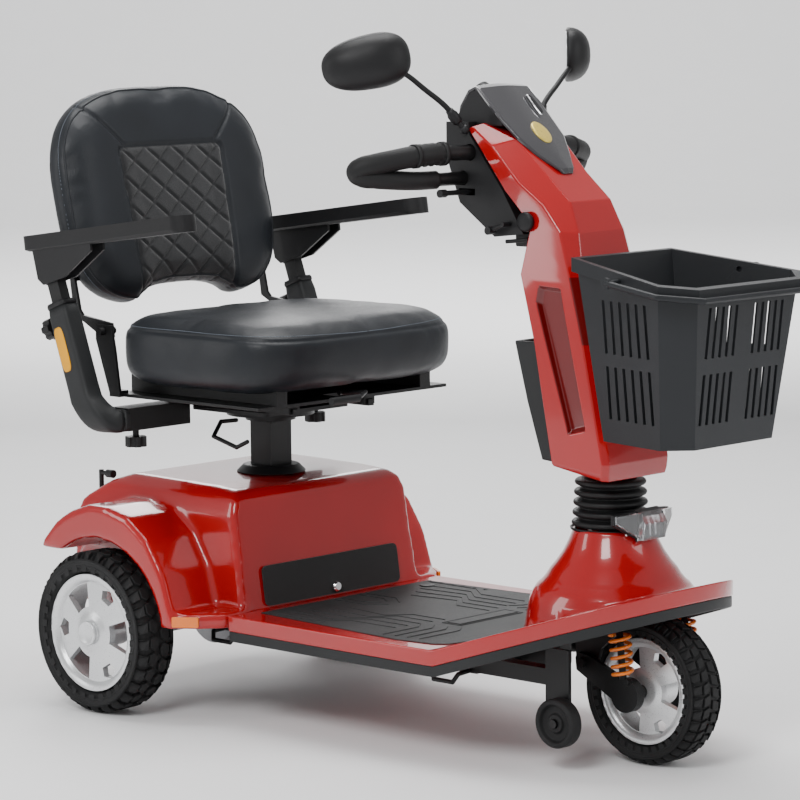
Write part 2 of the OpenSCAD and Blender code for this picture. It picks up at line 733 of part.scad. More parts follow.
// Rails, pan and the two sockets of the armrest tubes.
module seat_frame() color("#232325") {
    difference() {
        union() {
            for (s = [-1, 1]) {
                difference() {
                    box([-476, s * 84 - 12, 466], [-200, s * 84 + 12, 486]);
                    box([-500, s * 84 - 6.4, 460], [-180, s * 84 + 6.4, 474.4]);
                }
                box([-456, min(s * 100, s * 232), 436], [-418, max(s * 100, s * 232), 472]);
                box([-456, min(s * 92, s * 112), 466], [-418, max(s * 92, s * 112), 486]);
            }
            box([-476, -210, 486], [-150, 210, 491]);
            for (s = [-1, 1]) {
                box([-476, s * 160 - 12, 491], [-150, s * 160 + 12, cushion_z - 1]);
                side_prism([[-452, 491], [-476, 491], [-506, 574], [-506, 598], [-470, 598],
                            [-462, 560]], min(s * 214, s * 219), max(s * 214, s * 219));
                box([-476, min(s * 200, s * 219), 486], [-452, max(s * 200, s * 219), 496]);
            }
        }
        for (s = [-1, 1]) {
            box([-451.2, min(s * 104, s * 240), 440.8], [-422.8, max(s * 104, s * 240), 467.2]);
            translate([-437, s * 200, 420]) cylinder(h = 24, r = 5.1);
            y_disc([hinge_x, s * 216, hinge_z], 6.05, 40);
        }
        box([-200, -22, 480], [-140, 22, 500]);
    }
}

module seat_cushion() color("#3b3f46") hull() for (s = [-1, 1]) {
    translate([-272, s * (cushion_half_w - 206), cushion_z]) cylinder(h = 40, r = 182);
    translate([-276, s * (cushion_half_w - 200), cushion_z + 40]) cylinder(h = 30, r = 200);
    translate([-276, s * (cushion_half_w - 214), cushion_z + 60]) cylinder(h = cushion_t - 60, r = 160);
    translate([-418, s * (cushion_half_w - 40), cushion_z]) cylinder(h = 50, r = 32);
    translate([-418, s * (cushion_half_w - 40), cushion_z + 30]) cylinder(h = 24, r = 40);
}

module back_frame() color("#1c1c1e") {
    for (s = [-1, 1]) {
        on_back() side_prism([[-10, -12], [10, -12], [12, 10], [-52, 34], [-57, 43], [-57, 140],
                              [-64, 140], [-72, 40]], s * 208 - 2.5, s * 208 + 2.5);
        y_disc([hinge_x, s * 213, hinge_z], 6, 32);
    }
    on_back() translate([-64, -210, 90]) cube([6.5, 420, 50]);
}

module backrest() color("#3b3f46") on_back() difference() {
    hull() for (s = [-1, 1]) {
        translate([-60, s * (back_half_w - 106), back_h - 106]) rotate([0, 90, 0])
            cylinder(h = 30, r = 105);
        translate([-74, s * (back_half_w - 120), back_h - 122]) rotate([0, 90, 0])
            cylinder(h = 58, r = 96);
        translate([-60, s * (back_half_w - 48), 92]) rotate([0, 90, 0]) cylinder(h = 34, r = 48);
        translate([-70, s * (back_half_w - 64), 100]) rotate([0, 90, 0]) cylinder(h = 58, r = 44);
    }
    translate([-90, -213, -20]) cube([33.2, 426, 164]);
}

// Moulded post of one armrest with the square tube that slides in the seat frame.
module arm_post(s) color("#17181a") difference() {
    union() {
        box([-450.6, min(s * 112, s * 250), 441.4], [-423.4, max(s * 112, s * 250), 466.6]);
        box([-470, min(s * 238, s * 278), 431], [-420, max(s * 238, s * 278), 474]);
        on_post(s) translate([-24, -18, -14]) cube([46, 36, 206]);
    }
    on_post(s) translate([-13.5, -9.5, 30]) cube([27, 19, 200]);
    on_post(s) translate([-40, 0, 160]) rotate([0, 90, 0]) cylinder(h = 40, r = 5.1);
    on_post(s) translate([0, 0, 178]) rotate([0, 90, 0]) cylinder(h = 40, r = 4);
}
module arm_post_left() arm_post(1);
module arm_post_right() arm_post(-1);

// Inner bar of the post, with the armrest's pivot at its top.
module arm_riser(s) color("#1a1a1c") on_post(s) difference() {
    union() {
        translate([-13, -9, 34]) cube([26, 18, 200]);
        translate([-16, -9, 226]) cube([32, 18, 34]);
    }
    translate([0, 0, 246]) rotate([90, 0, 0]) cylinder(h = 40, r = 6.05, center = true);
}
module arm_riser_left() arm_riser(1);
module arm_riser_right() arm_riser(-1);

// Armrest: bracket cheeks, pivot pin and pad.
arm_pivot_x = post_x - 246 * sin(post_lean);
arm_pivot_z = post_z + 246 * cos(post_lean);
arm_slope = 7.5;
module armrest(s) color("#151517") {
    translate([arm_pivot_x, s * post_y, arm_pivot_z]) {
        rotate([90, 0, 0]) cylinder(h = 30, r = 6, center = true);
        for (k = [-1, 1]) translate([0, k * 12, 0]) rotate([0, -arm_slope, 0])
            side_prism([[-22, -12], [-10, -22], [40, -14], [110, 22], [110, 34], [-28, 34]],
                       k * 1.0 - 2.2, k * 1.0 + 2.2);
        rotate([0, -arm_slope, 0]) difference() {
            hull() {
                translate([-34, s * (pad_y - post_y), 36]) cylinder(h = 22, r = 22);
                translate([pad_len - 26, s * (pad_y - post_y), 38]) cylinder(h = 20, r = 24);
                translate([pad_len - 20, s * (pad_y - post_y), 32]) cylinder(h = 14, r = 20);
                translate([-30, s * (pad_y - post_y), 33]) cylinder(h = 20, r = 18);
            }
            box([-30, -14.9, 20], [30, 14.9, 40]);
        }
    }
}
module armrest_left() armrest(1);
module armrest_right() armrest(-1);

// Clamp knob: a threaded stud along Z with a lobed head at its lower end.
module knob(stud, head_r) {
    cylinder(h = stud, r = 5);
    translate([0, 0, -16]) difference() {
        cylinder(h = 16, r = head_r);
        for (i = [0 : 5]) rotate([0, 0, i * 60]) translate([head_r + 2, 0, -1]) cylinder(h = 18, r = 5);
    }
}

module width_knob(s) color("#0f0f0f") translate([-437, s * 200, 424]) knob(16.6, 17);
module width_knob_left() width_knob(1);
module width_knob_right() width_knob(-1);

module height_knob(s) color("#0f0f0f") on_post(s) translate([-28, 0, 160]) rotate([0, 90, 0])
    knob(14, 17);
module height_knob_left() height_knob(1);
module height_knob_right() height_knob(-1);

module swivel_lever() color("silver")
    rod_chain([[-338, -76, 445], [-350, -98, 444], [-340, -124, 424], [-282, -130, 412],
               [-262, -126, 422]], 7);

module slide_lever() color("#141414") {
    bar([-172, -14, 495], [-172, 14, 495], 8);
    rod_chain([[-172, -8, 495], [-120, -8, 500], [-84, -60, 498]], 7);
    bar([-84, -60, 498], [-84, -120, 498], 12);
}

// ---------- assembly ----------

module placed() translate([centre_shift, 0, 0]) children();

placed() chassis_frame();
placed() floor_deck();
placed() deck_trim();
placed() deck_mat();
placed() rear_shroud();
placed() kick_panel();
placed() panel_knob();
placed() front_shroud();
placed() headlight_housing();
placed() headlight_lens();
placed() side_reflectors();
placed() batteries();
placed() transaxle();
placed() freewheel_lever();
placed() seat_post_collar();
placed() rear_tyre_left();
placed() rear_rim_left();
placed() rear_tyre_right();
placed() rear_rim_right();
placed() steering_yoke();
placed() bellows();
placed() swing_arm();
placed() suspension_spring();
placed() front_tyre();
placed() front_rim();
placed() anti_tip_wheel_left();
placed() anti_tip_wheel_right();
placed() tiller_tube();
placed() tiller_cover();
placed() tiller_back_cover();
placed() dash_panel();
placed() head_housing();
placed() handlebar();
placed() handlebar_grips();
placed() throttle_lever();
placed() speed_dial();
placed() ignition_key();
placed() tilt_lever();
placed() basket();
placed() basket_handle();
placed() mirror_left();
placed() mirror_right();
placed() seat_post();
placed() swivel_plate();
placed() seat_frame();
placed() seat_cushion();
placed() back_frame();
placed() backrest();
placed() arm_post_left();
placed() arm_post_right();
placed() arm_riser_left();
placed() arm_riser_right();
placed() armrest_left();
placed() armrest_right();
placed() swivel_lever();
placed() slide_lever();
placed() width_knob_left();
placed() width_knob_right();
placed() height_knob_left();
placed() height_knob_right();
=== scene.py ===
import math

import bmesh
import bpy
from mathutils import Matrix, Vector, noise


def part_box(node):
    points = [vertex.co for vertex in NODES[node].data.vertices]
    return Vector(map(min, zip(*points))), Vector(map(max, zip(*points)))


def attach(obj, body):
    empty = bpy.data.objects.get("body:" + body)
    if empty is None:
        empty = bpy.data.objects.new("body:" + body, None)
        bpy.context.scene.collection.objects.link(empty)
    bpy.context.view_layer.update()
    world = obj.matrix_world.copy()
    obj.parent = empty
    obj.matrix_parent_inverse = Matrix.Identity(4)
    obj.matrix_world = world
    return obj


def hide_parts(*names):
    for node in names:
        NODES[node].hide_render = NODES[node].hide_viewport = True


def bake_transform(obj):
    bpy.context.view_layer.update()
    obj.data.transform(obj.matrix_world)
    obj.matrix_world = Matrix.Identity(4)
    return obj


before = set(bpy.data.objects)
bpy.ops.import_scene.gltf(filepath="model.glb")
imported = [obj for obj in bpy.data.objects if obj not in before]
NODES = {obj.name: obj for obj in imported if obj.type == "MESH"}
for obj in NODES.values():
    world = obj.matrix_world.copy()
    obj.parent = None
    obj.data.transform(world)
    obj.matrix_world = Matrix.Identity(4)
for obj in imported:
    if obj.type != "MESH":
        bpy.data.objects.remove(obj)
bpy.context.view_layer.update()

SHIFT = -0.0017      # the CAD model is moved by this much along X


def P(x, y, z):
    """A point given in the CAD's own millimetres, in metres and in the shared frame."""
    return Vector((x / 1000 + SHIFT, y / 1000, z / 1000))


# ---------------------------------------------------------------- camera

cam_data = bpy.data.cameras.new("camera")
cam = bpy.data.objects.new("camera", cam_data)
bpy.context.scene.collection.objects.link(cam)
right = Vector((0.72756, 0.68598, -0.00961))
up = Vector((-0.07585, 0.09435, 0.99264))
back = Vector((0.68184, -0.72148, 0.12068))
cam.matrix_world = Matrix((
    (right.x, up.x, back.x, 3.5573 + SHIFT),
    (right.y, up.y, back.y, -3.8213),
    (right.z, up.z, back.z, 1.1306),
    (0, 0, 0, 1)))
cam_data.sensor_width = 36
cam_data.lens = 155.2
cam_data.clip_end = 60
bpy.context.scene.camera = cam


# ---------------------------------------------------------------- materials

def material(name, color, rough, metal=0.0, coat=0.0, grain=None, bump=0.0, vary=0.12,
             rough_vary=0.08, sheen=0.0, blotch=6.0, transmission=0.0, cells=False, dust=0.0, spec=0.3):
    """A painted or moulded surface: blotches in its colour, varied roughness and a fine grain in relief."""
    m = bpy.data.materials.new(name)
    m.use_nodes = True
    nt = m.node_tree
    n, lk = nt.nodes, nt.links
    bsdf = n["Principled BSDF"]
    bsdf.inputs["Metallic"].default_value = metal
    bsdf.inputs["Coat Weight"].default_value = coat
    bsdf.inputs["Specular IOR Level"].default_value = spec
    bsdf.inputs["Coat Roughness"].default_value = 0.04
    bsdf.inputs["Sheen Weight"].default_value = sheen
    bsdf.inputs["Transmission Weight"].default_value = transmission
    tc = n.new("ShaderNodeTexCoord")
    big = n.new("ShaderNodeTexNoise")
    big.inputs["Scale"].default_value = blotch
    big.inputs["Detail"].default_value = 5
    lk.new(tc.outputs["Object"], big.inputs["Vector"])
    ramp = n.new("ShaderNodeValToRGB")
    lo = [c * (1 - vary) for c in color]
    hi = [min(1, c * (1 + vary) + dust) for c in color]
    ramp.color_ramp.elements[0].position = 0.35
    ramp.color_ramp.elements[0].color = (*lo, 1)
    ramp.color_ramp.elements[1].position = 0.68
    ramp.color_ramp.elements[1].color = (*hi, 1)
    lk.new(big.outputs["Fac"], ramp.inputs["Fac"])
    lk.new(ramp.outputs["Color"], bsdf.inputs["Base Color"])
    fine = n.new("ShaderNodeTexNoise")
    fine.inputs["Scale"].default_value = (grain or 300) * 0.35
    lk.new(tc.outputs["Object"], fine.inputs["Vector"])
    mr = n.new("ShaderNodeMapRange")
    mr.inputs["To Min"].default_value = max(0.02, rough - rough_vary)
    mr.inputs["To Max"].default_value = min(1, rough + rough_vary)
    lk.new(fine.outputs["Fac"], mr.inputs["Value"])
    lk.new(mr.outputs["Result"], bsdf.inputs["Roughness"])
    if grain:
        if cells:
            tex = n.new("ShaderNodeTexVoronoi")
            tex.feature = "SMOOTH_F1"
            height = tex.outputs["Distance"]
        else:
            tex = n.new("ShaderNodeTexNoise")
            tex.inputs["Detail"].default_value = 3
            height = tex.outputs["Fac"]
        tex.inputs["Scale"].default_value = grain
        lk.new(tc.outputs["Object"], tex.inputs["Vector"])
        b = n.new("ShaderNodeBump")
        b.inputs["Strength"].default_value = bump
        b.inputs["Distance"].default_value = 0.0006
        lk.new(height, b.inputs["Height"])
        lk.new(b.outputs["Normal"], bsdf.inputs["Normal"])
    return m


GLOSS = {"coat": 0.8, "grain": 45, "bump": 0.03, "vary": 0.05, "rough_vary": 0.03}
RED = material("red_paint", (0.36, 0.0006, 0.0022), 0.24, **GLOSS)
# the body red made darker: painted shade for the recess on each side of the tiller cover
RED_PAINTED_SHADE = material("red_recess_painted_shade", (0.13, 0.0004, 0.001), 0.3, **GLOSS)
TRIM = material("moulded_black", (0.009, 0.009, 0.010), 0.46, grain=1400, bump=0.35)
TRIM_GREY = material("moulded_grey", (0.016, 0.017, 0.018), 0.5, grain=1300, bump=0.35)
FRAME = material("powder_coat", (0.007, 0.007, 0.0075), 0.36, grain=1800, bump=0.5)
RUBBER = material("tyre_rubber", (0.008, 0.008, 0.0085), 0.66, grain=900, bump=0.4, dust=0.006, blotch=14)
BOOT = material("boot_rubber", (0.006, 0.006, 0.0065), 0.5, grain=1500, bump=0.3)
MAT = material("mat_rubber", (0.018, 0.019, 0.020), 0.6, grain=1500, bump=0.7, dust=0.008, blotch=9)
SILVER = material("rim_silver", (0.72, 0.73, 0.74), 0.3, metal=0.65, coat=0.3, grain=2200,
                  bump=0.12, vary=0.05)
CHROME = material("chrome", (0.8, 0.8, 0.82), 0.1, metal=1.0, grain=300, bump=0.02, vary=0.03)
BASKET = material("basket_plastic", (0.014, 0.0155, 0.018), 0.42, grain=1500, bump=0.4)
VINYL = material("vinyl", (0.0135, 0.0155, 0.019), 0.42, grain=620, bump=0.28, cells=True,
                 vary=0.14, blotch=8)
QUILT = material("quilted_cloth", (0.007, 0.0075, 0.009), 0.72, grain=1500, bump=0.9, sheen=0.3)
THREAD = material("thread", (0.13, 0.15, 0.18), 0.7, grain=2500, bump=0.5)
FELT = material("carpet_panel", (0.008, 0.008, 0.0085), 0.95, grain=1300, bump=1.0,
                sheen=0.25, vary=0.5, blotch=500)
AMBER = material("amber", (0.75, 0.16, 0.003), 0.22, coat=0.8, grain=420, bump=0.5, cells=True)
YELLOW = material("yellow_strip", (0.80, 0.36, 0.002), 0.35, grain=900, bump=0.4, cells=True)
ORANGE = material("spring_paint", (0.75, 0.17, 0.003), 0.3, coat=0.6, grain=800, bump=0.1)
DASH = material("dash_gloss", (0.035, 0.034, 0.038), 0.2, coat=0.9, grain=900, bump=0.05)
GOLD = material("gold_badge", (0.72, 0.55, 0.12), 0.3, metal=0.5, coat=0.4, grain=900, bump=0.1)
GRIP = material("grip_rubber", (0.009, 0.009, 0.0095), 0.55, grain=1200, bump=0.5)
LENS = material("lens", (0.86, 0.88, 0.9), 0.06, transmission=0.96, grain=260, bump=0.08,
                vary=0.02, rough_vary=0.03)
REFLECTOR = material("lamp_reflector", (0.82, 0.83, 0.85), 0.15, metal=0.9, grain=600, bump=0.05)
BATTERY = material("battery_case", (0.06, 0.065, 0.072), 0.5, grain=1200, bump=0.4)
CAST = material("cast_aluminium", (0.25, 0.25, 0.26), 0.45, metal=0.7, grain=900, bump=0.6)
GLASS = material("mirror_glass", (0.75, 0.77, 0.8), 0.04, metal=1.0, vary=0.01, rough_vary=0.02)


# ---------------------------------------------------------------- mesh helpers

def add_mesh(name, verts, faces, mat, smooth=True):
    me = bpy.data.meshes.new(name)
    me.from_pydata([tuple(v) for v in verts], [], faces)
    me.validate()
    bm = bmesh.new()
    bm.from_mesh(me)
    bmesh.ops.recalc_face_normals(bm, faces=bm.faces)
    bm.to_mesh(me)
    bm.free()
    me.polygons.foreach_set("use_smooth", [smooth] * len(me.polygons))
    o = bpy.data.objects.new(name, me)
    bpy.context.scene.collection.objects.link(o)
    me.materials.append(mat)
    return o


def modify(o, kind, **settings):
    mod = o.modifiers.new(kind.lower(), kind)
    for k, v in settings.items():
        setattr(mod, k, v)
    return mod


def bake(o):
    """Applies every modifier of o."""
    bpy.context.view_layer.update()
    ev = o.evaluated_get(bpy.context.evaluated_depsgraph_get())
    me = bpy.data.meshes.new_from_object(ev)
    old = o.data
    o.modifiers.clear()
    o.data = me
    bpy.data.meshes.remove(old)
    return o


def loft(name, rings, mat, caps=True, wrap=False, smooth=True):
    """A skin over rings of equally many points; wrap joins the last ring to the first."""
    n = len(rings[0])
    verts = [p for r in rings for p in r]
    faces = []
    count = len(rings) if wrap else len(rings) - 1
    for i in range(count):
        a, b = i * n, ((i + 1) % len(rings)) * n
        for j in range(n):
            k = (j + 1) % n
            faces.append((a + j, a + k, b + k, b + j))
    if caps and not wrap:
        faces.append(tuple(range(n))[::-1])
        faces.append(tuple(range((len(rings) - 1) * n, len(rings) * n)))
    return add_mesh(name, verts, faces, mat, smooth)


def lathe(name, profile, centre, axis, mat, steps=96, wrap=True):
    """Turns profile points (along the axis, radius) about an axis through centre."""
    q = Vector((0, 0, 1)).rotation_difference(Vector(axis).normalized())
    rings = []
    for i in range(steps):
        t = 2 * math.pi * i / steps
        rings.append([centre + q @ Vector((r * math.cos(t), r * math.sin(t), h)) for h, r in profile])
    n = len(profile)
    verts = [p for r in rings for p in r]
    faces = []
    for i in range(steps):
        a, b = i * n, ((i + 1) % steps) * n
        for j in range(n if wrap else n - 1):
            k = (j + 1) % n
            faces.append((a + j, b + j, b + k, a + k))
    o = add_mesh(name, verts, faces, mat)
    bm = bmesh.new()
    bm.from_mesh(o.data)
    bmesh.ops.remove_doubles(bm, verts=bm.verts, dist=1e-6)
    bmesh.ops.recalc_face_normals(bm, faces=bm.faces)
    bm.to_mesh(o.data)
    bm.free()
    return o


def tube(name, points, radius, mat, closed=False, sides=8, smooth_path=True):
    cu = bpy.data.curves.new(name, "CURVE")
    cu.dimensions = "3D"
    cu.bevel_depth = 1.0
    cu.bevel_resolution = sides
    cu.use_fill_caps = True
    sp = cu.splines.new("BEZIER" if smooth_path else "POLY")
    radii = radius if isinstance(radius, (list, tuple)) else [radius] * len(points)
    if smooth_path:
        sp.bezier_points.add(len(points) - 1)
        for b, p, r in zip(sp.bezier_points, points, radii):
            b.co, b.radius = p, r
            b.handle_left_type = b.handle_right_type = "AUTO"
        sp.resolution_u = 10
    else:
        sp.points.add(len(points) - 1)
        for b, p, r in zip(sp.points, points, radii):
            b.co, b.radius = (*p, 1), r
    sp.use_cyclic_u = closed
    o = bpy.data.objects.new(name, cu)
    bpy.context.scene.collection.objects.link(o)
    bpy.context.view_layer.update()
    me = bpy.data.meshes.new_from_object(o.evaluated_get(bpy.context.evaluated_depsgraph_get()))
    bpy.data.objects.remove(o)
    bm = bmesh.new()
    bm.from_mesh(me)
    bmesh.ops.remove_doubles(bm, verts=bm.verts, dist=1e-5)
    bmesh.ops.recalc_face_normals(bm, faces=bm.faces)
    bm.to_mesh(me)
    bm.free()
    me.polygons.foreach_set("use_smooth", [True] * len(me.polygons))
    me.materials.clear()
    me.materials.append(mat)
    o = bpy.data.objects.new(name, me)
    bpy.context.scene.collection.objects.link(o)
    return o


def prism(name, points, plane, lo, hi, mat=None):
    """An outline in a plane ("xz", "yz" or "xy", in CAD millimetres), made solid from lo to hi."""
    def at(p, h):
        return P(*{"xz": (p[0], h, p[1]), "yz": (h, p[0], p[1]), "xy": (p[0], p[1], h)}[plane])
    return loft(name, [[at(p, lo) for p in points], [at(p, hi) for p in points]], mat or RED, smooth=False)


def block(name, a, b, mat, bevel=1.5, segments=3):
    """A box between two CAD corners, in millimetres, with rounded edges."""
    o = prism(name, [(a[0], a[1]), (b[0], a[1]), (b[0], b[1]), (a[0], b[1])], "xy", a[2], b[2], mat)
    soften(o, bevel, segments)
    return bake(o)


def combine(o, other, how):
    modify(o, "BOOLEAN", object=other, operation=how, solver="EXACT")
    bake(o)
    bpy.data.objects.remove(other)
    return o


def soften(o, width_mm, segments=3, angle=30):
    """Rounds the sharp edges and shades the faces smooth."""
    o.data.polygons.foreach_set("use_smooth", [True] * len(o.data.polygons))
    modify(o, "WELD", merge_threshold=2e-5)
    modify(o, "BEVEL", width=width_mm / 1000, segments=segments, limit_method="ANGLE",
           angle_limit=math.radians(angle), use_clamp_overlap=True, miter_outer="MITER_ARC")
    modify(o, "WEIGHTED_NORMAL", keep_sharp=False, weight=60)


def join(name, objects):
    """Joins the meshes of several objects into the first one."""
    bm = bmesh.new()
    mats = []
    for o in objects:
        start = len(bm.faces)
        me = o.data.copy()
        me.transform(o.matrix_world)
        for m in me.materials:
            if m not in mats:
                mats.append(m)
        table = [mats.index(m) for m in me.materials]
        bm.from_mesh(me)
        bm.faces.ensure_lookup_table()
        for f in bm.faces[start:]:
            f.material_index = table[f.material_index]
        bpy.data.meshes.remove(me)
    me = bpy.data.meshes.new(name)
    bm.to_mesh(me)
    bm.free()
    for o in objects:
        bpy.data.objects.remove(o)
    o = bpy.data.objects.new(name, me)
    bpy.context.scene.collection.objects.link(o)
    for m in mats:
        me.materials.append(m)
    return o


def place(o, body, slot, *nodes):
    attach(o, body)
    if nodes:
        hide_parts(*nodes)
    return o


def inflate(o, voxel, pressure, cap):
    """Remeshes a closed form and blows it up as cloth; no point moves further than cap, in metres."""
    modify(o, "REMESH", mode="VOXEL", voxel_size=voxel)
    bake(o)
    cloth = modify(o, "CLOTH")
    cloth.settings.use_pressure = True
    cloth.settings.uniform_pressure_force = pressure
    cloth.settings.effector_weights.gravity = 0
    cloth.settings.quality = 4
    cloth.point_cache.frame_end = 20
    scene = bpy.context.scene
    for f in range(1, 21):
        scene.frame_set(f)
    ev = o.evaluated_get(bpy.context.evaluated_depsgraph_get())
    moved = [v.co.copy() for v in ev.data.vertices]
    o.modifiers.clear()
    for v, m in zip(o.data.vertices, moved):
        d = m - v.co
        v.co = v.co + (d if d.length < cap else d.normalized() * cap)
    scene.frame_set(1)
    modify(o, "SMOOTH", factor=0.6, iterations=6)
    modify(o, "SUBSURF", levels=1, render_levels=1)
    bake(o)
    o.data.polygons.foreach_set("use_smooth", [True] * len(o.data.polygons))
    return o


def rounded_outline(half_a, half_b, power, count):
    pts = []
    for i in range(count):
        t = 2 * math.pi * i / count
        c, s = math.cos(t), math.sin(t)
        pts.append((half_a * math.copysign(abs(c) ** (2 / power), c),
                    half_b * math.copysign(abs(s) ** (2 / power), s)))
    return pts


def capsules(name, points, length, radius, mat):
    """Short stitches along a path of points."""
    verts, faces = [], []
    for i in range(len(points) - 1):
        a, b = points[i], points[i + 1]
        d = (b - a)
        if d.length < 1e-6:
            continue
        d = d.normalized()
        mid = (a + b) / 2
        side = d.orthogonal().normalized()
        top = d.cross(side)
        base = len(verts)
        for k, f in ((-0.5, 0.35), (-0.35, 1), (0.35, 1), (0.5, 0.35)):
            for j in range(6):
                t = j * math.pi / 3
                verts.append(mid + d * (k * length) + (side * math.cos(t) + top * math.sin(t)) * radius * f)
        for r in range(3):
            for j in range(6):
                k = (j + 1) % 6
                low, high = base + r * 6, base + (r + 1) * 6
                faces.append((low + j, low + k, high + k, high + j))
        faces.append(tuple(base + j for j in range(6))[::-1])
        faces.append(tuple(base + 18 + j for j in range(6)))
    return add_mesh(name, verts, faces, mat)


# ---------------------------------------------------------------- carried-over CAD nodes

LOOKS = {
    "chassis_frame": (FRAME, 1.2), "floor_deck": (RED, 4.5), "deck_trim": (TRIM_GREY, 1.5),
    "kick_panel": (FELT, 2.0), "panel_knob": (CHROME, 0.8), "headlight_housing": (TRIM, 1.5),
    "headlight_lens": (LENS, 1.2), "side_reflectors": (AMBER, 2.0), "batteries": (BATTERY, 4.0),
    "transaxle": (CAST, 2.0), "freewheel_lever": (TRIM, 0.5), "seat_post_collar": (TRIM, 2.0),
    "steering_yoke": (FRAME, 1.5), "swing_arm": (FRAME, 1.5),
    "anti_tip_wheel_left": (RUBBER, 2.0), "anti_tip_wheel_right": (RUBBER, 2.0),
    "tiller_tube": (FRAME, 0.8), "tiller_back_cover": (TRIM_GREY, 3.5),
    "head_housing": (TRIM, 4.0), "handlebar": (FRAME, 0.5), "throttle_lever": (TRIM, 0.5),
    "speed_dial": (TRIM, 1.0), "ignition_key": (CHROME, 0.4), "tilt_lever": (TRIM, 0.4),
    "basket": (BASKET, 1.0), "basket_handle": (BASKET, 0.5),
    "seat_post": (FRAME, 0.8), "swivel_plate": (FRAME, 1.2), "seat_frame": (FRAME, 1.5),
    "back_frame": (FRAME, 1.2), "arm_riser_left": (FRAME, 1.5), "arm_riser_right": (FRAME, 1.5),
    "armrest_left": (TRIM, 6.0), "armrest_right": (TRIM, 6.0),
    "swivel_lever": (FRAME, 0.3), "slide_lever": (TRIM, 0.4),
    "width_knob_left": (TRIM, 1.2), "width_knob_right": (TRIM, 1.2),
    "height_knob_left": (TRIM, 1.2), "height_knob_right": (TRIM, 1.2),
    "front_rim": (SILVER, 1.2), "rear_rim_left": (SILVER, 1.2), "rear_rim_right": (SILVER, 1.2),
}
for node, (mat, bevel) in LOOKS.items():
    o = NODES[node]
    o.data.materials.clear()
    o.data.materials.append(mat)
    soften(o, bevel, 3 if bevel > 1 else 2)


# ---------------------------------------------------------------- wheels

# Tread blocks: corners as (share of the spacing round the tyre, share of the half width),
# and a share of the tread depth.
CHUNKY = (
    ([(0, 0.62), (0.62, 0.58), (0.66, 0.86), (0.54, 1.13), (0.04, 1.13), (-0.04, 0.86)], 1),
    ([(0.08, 0.10), (0.52, 0.05), (0.78, 0.26), (0.66, 0.50), (0.16, 0.53), (-0.1, 0.3)], 1))
ROAD = (
    ([(0, 0.64), (0.7, 0.56), (0.76, 0.9), (0.6, 1.12), (0.02, 1.12), (-0.05, 0.9)], 0.9),
    ([(0.1, 0.08), (0.85, 0.08), (0.62, 0.48), (-0.12, 0.50)], 1))


def tyre(node, body, x, y, radius, width, rim_r, blocks, chunky):
    """A carcass with rounded shoulders and separate raised tread blocks."""
    R, W = radius / 1000, width / 1000
    rr = rim_r / 1000
    tread = 0.005 if chunky else 0.0035
    c = P(x, y, radius)
    h = W / 2
    prof = [(-h * 0.62, rr), (-h * 0.80, rr + 0.003), (-h * 0.93, rr + (R - rr) * 0.30),
            (-h * 0.995, rr + (R - rr) * 0.52), (-h * 0.985, rr + (R - rr) * 0.70),
            (-h * 0.90, R - tread - 0.0095), (-h * 0.72, R - tread - 0.003), (-h * 0.4, R - tread - 0.0006),
            (0, R - tread)]
    prof = prof + [(-a, b) for a, b in prof[-2::-1]]
    body_mesh = lathe(node + "_carcass", prof, c, (0, 1, 0), RUBBER, 128)
    verts, faces = [], []

    def surface(t, s):
        """A point on the tread: t is the angle, s runs from -1 to 1 across the width."""
        a = abs(s)
        rad = R - tread - (0.010 * max(0, (a - 0.62) / 0.38) ** 1.6) - (0.012 * max(0, a - 1) / 0.2)
        yy = h * min(a, 0.96) * (1 if s > 0 else -1)
        if a > 0.96:
            yy += math.copysign((a - 0.96) * h * 0.12, s)
        return t, yy, rad

    def add_block(corners, height):
        base = len(verts)
        cx = sum(k[0] for k in corners) / len(corners)
        cy = sum(k[1] for k in corners) / len(corners)
        for lift, shrink in ((-0.0015, 1.0), (height * 0.8, 0.97), (height, 0.88)):
            for t, s in corners:
                tt, ss = cx + (t - cx) * shrink, cy + (s - cy) * shrink
                ang, yy, rad = surface(tt, ss)
                rad += lift
                verts.append(c + Vector((rad * math.cos(ang), yy, rad * math.sin(ang))))
        n = len(corners)
        for lv in range(2):
            for j in range(n):
                k = (j + 1) % n
                low, high = base + lv * n, base + (lv + 1) * n
                faces.append((low + j, low + k, high + k, high + j))
        faces.append(tuple(base + 2 * n + j for j in range(n)))

    step = 2 * math.pi / blocks
    for i in range(blocks):
        t = i * step
        for sgn in (-1, 1):
            o = t + (0 if sgn > 0 else step / 2)
            for pattern, share in (CHUNKY if chunky else ROAD):
                add_block([(o + step * a, sgn * b) for a, b in pattern], tread * share)
    treads = add_mesh(node + "_tread", verts, faces, RUBBER, smooth=False)
    # a raised bead line on each sidewall
    beads = []
    for s in (-1, 1):
        for k, (f, w) in enumerate(((0.34, 0.0012), (0.60, 0.0009))):
            r0 = rr + (R - rr) * f
            yb = h * (0.945 if f < 0.5 else 0.99) * s
            ring = [(yb + w * math.cos(a), r0 + w * 1.6 * math.sin(a))
                    for a in [j * math.pi / 4 for j in range(8)]]
            beads.append(lathe(f"{node}_bead{s}{k}", ring, c, (0, 1, 0), RUBBER, 96))
    o = join(node + "_skin", [body_mesh, treads] + beads)
    return place(o, body, "tyre", node)


tyre("rear_tyre_left", "rear_wheel_left", -430, 278.5, 127, 75, 93, 30, True)
tyre("rear_tyre_right", "rear_wheel_right", -430, -278.5, 127, 75, 93, 30, True)
tyre("front_tyre", "front_wheel", 446, 0, 108, 66, 79.5, 36, False)

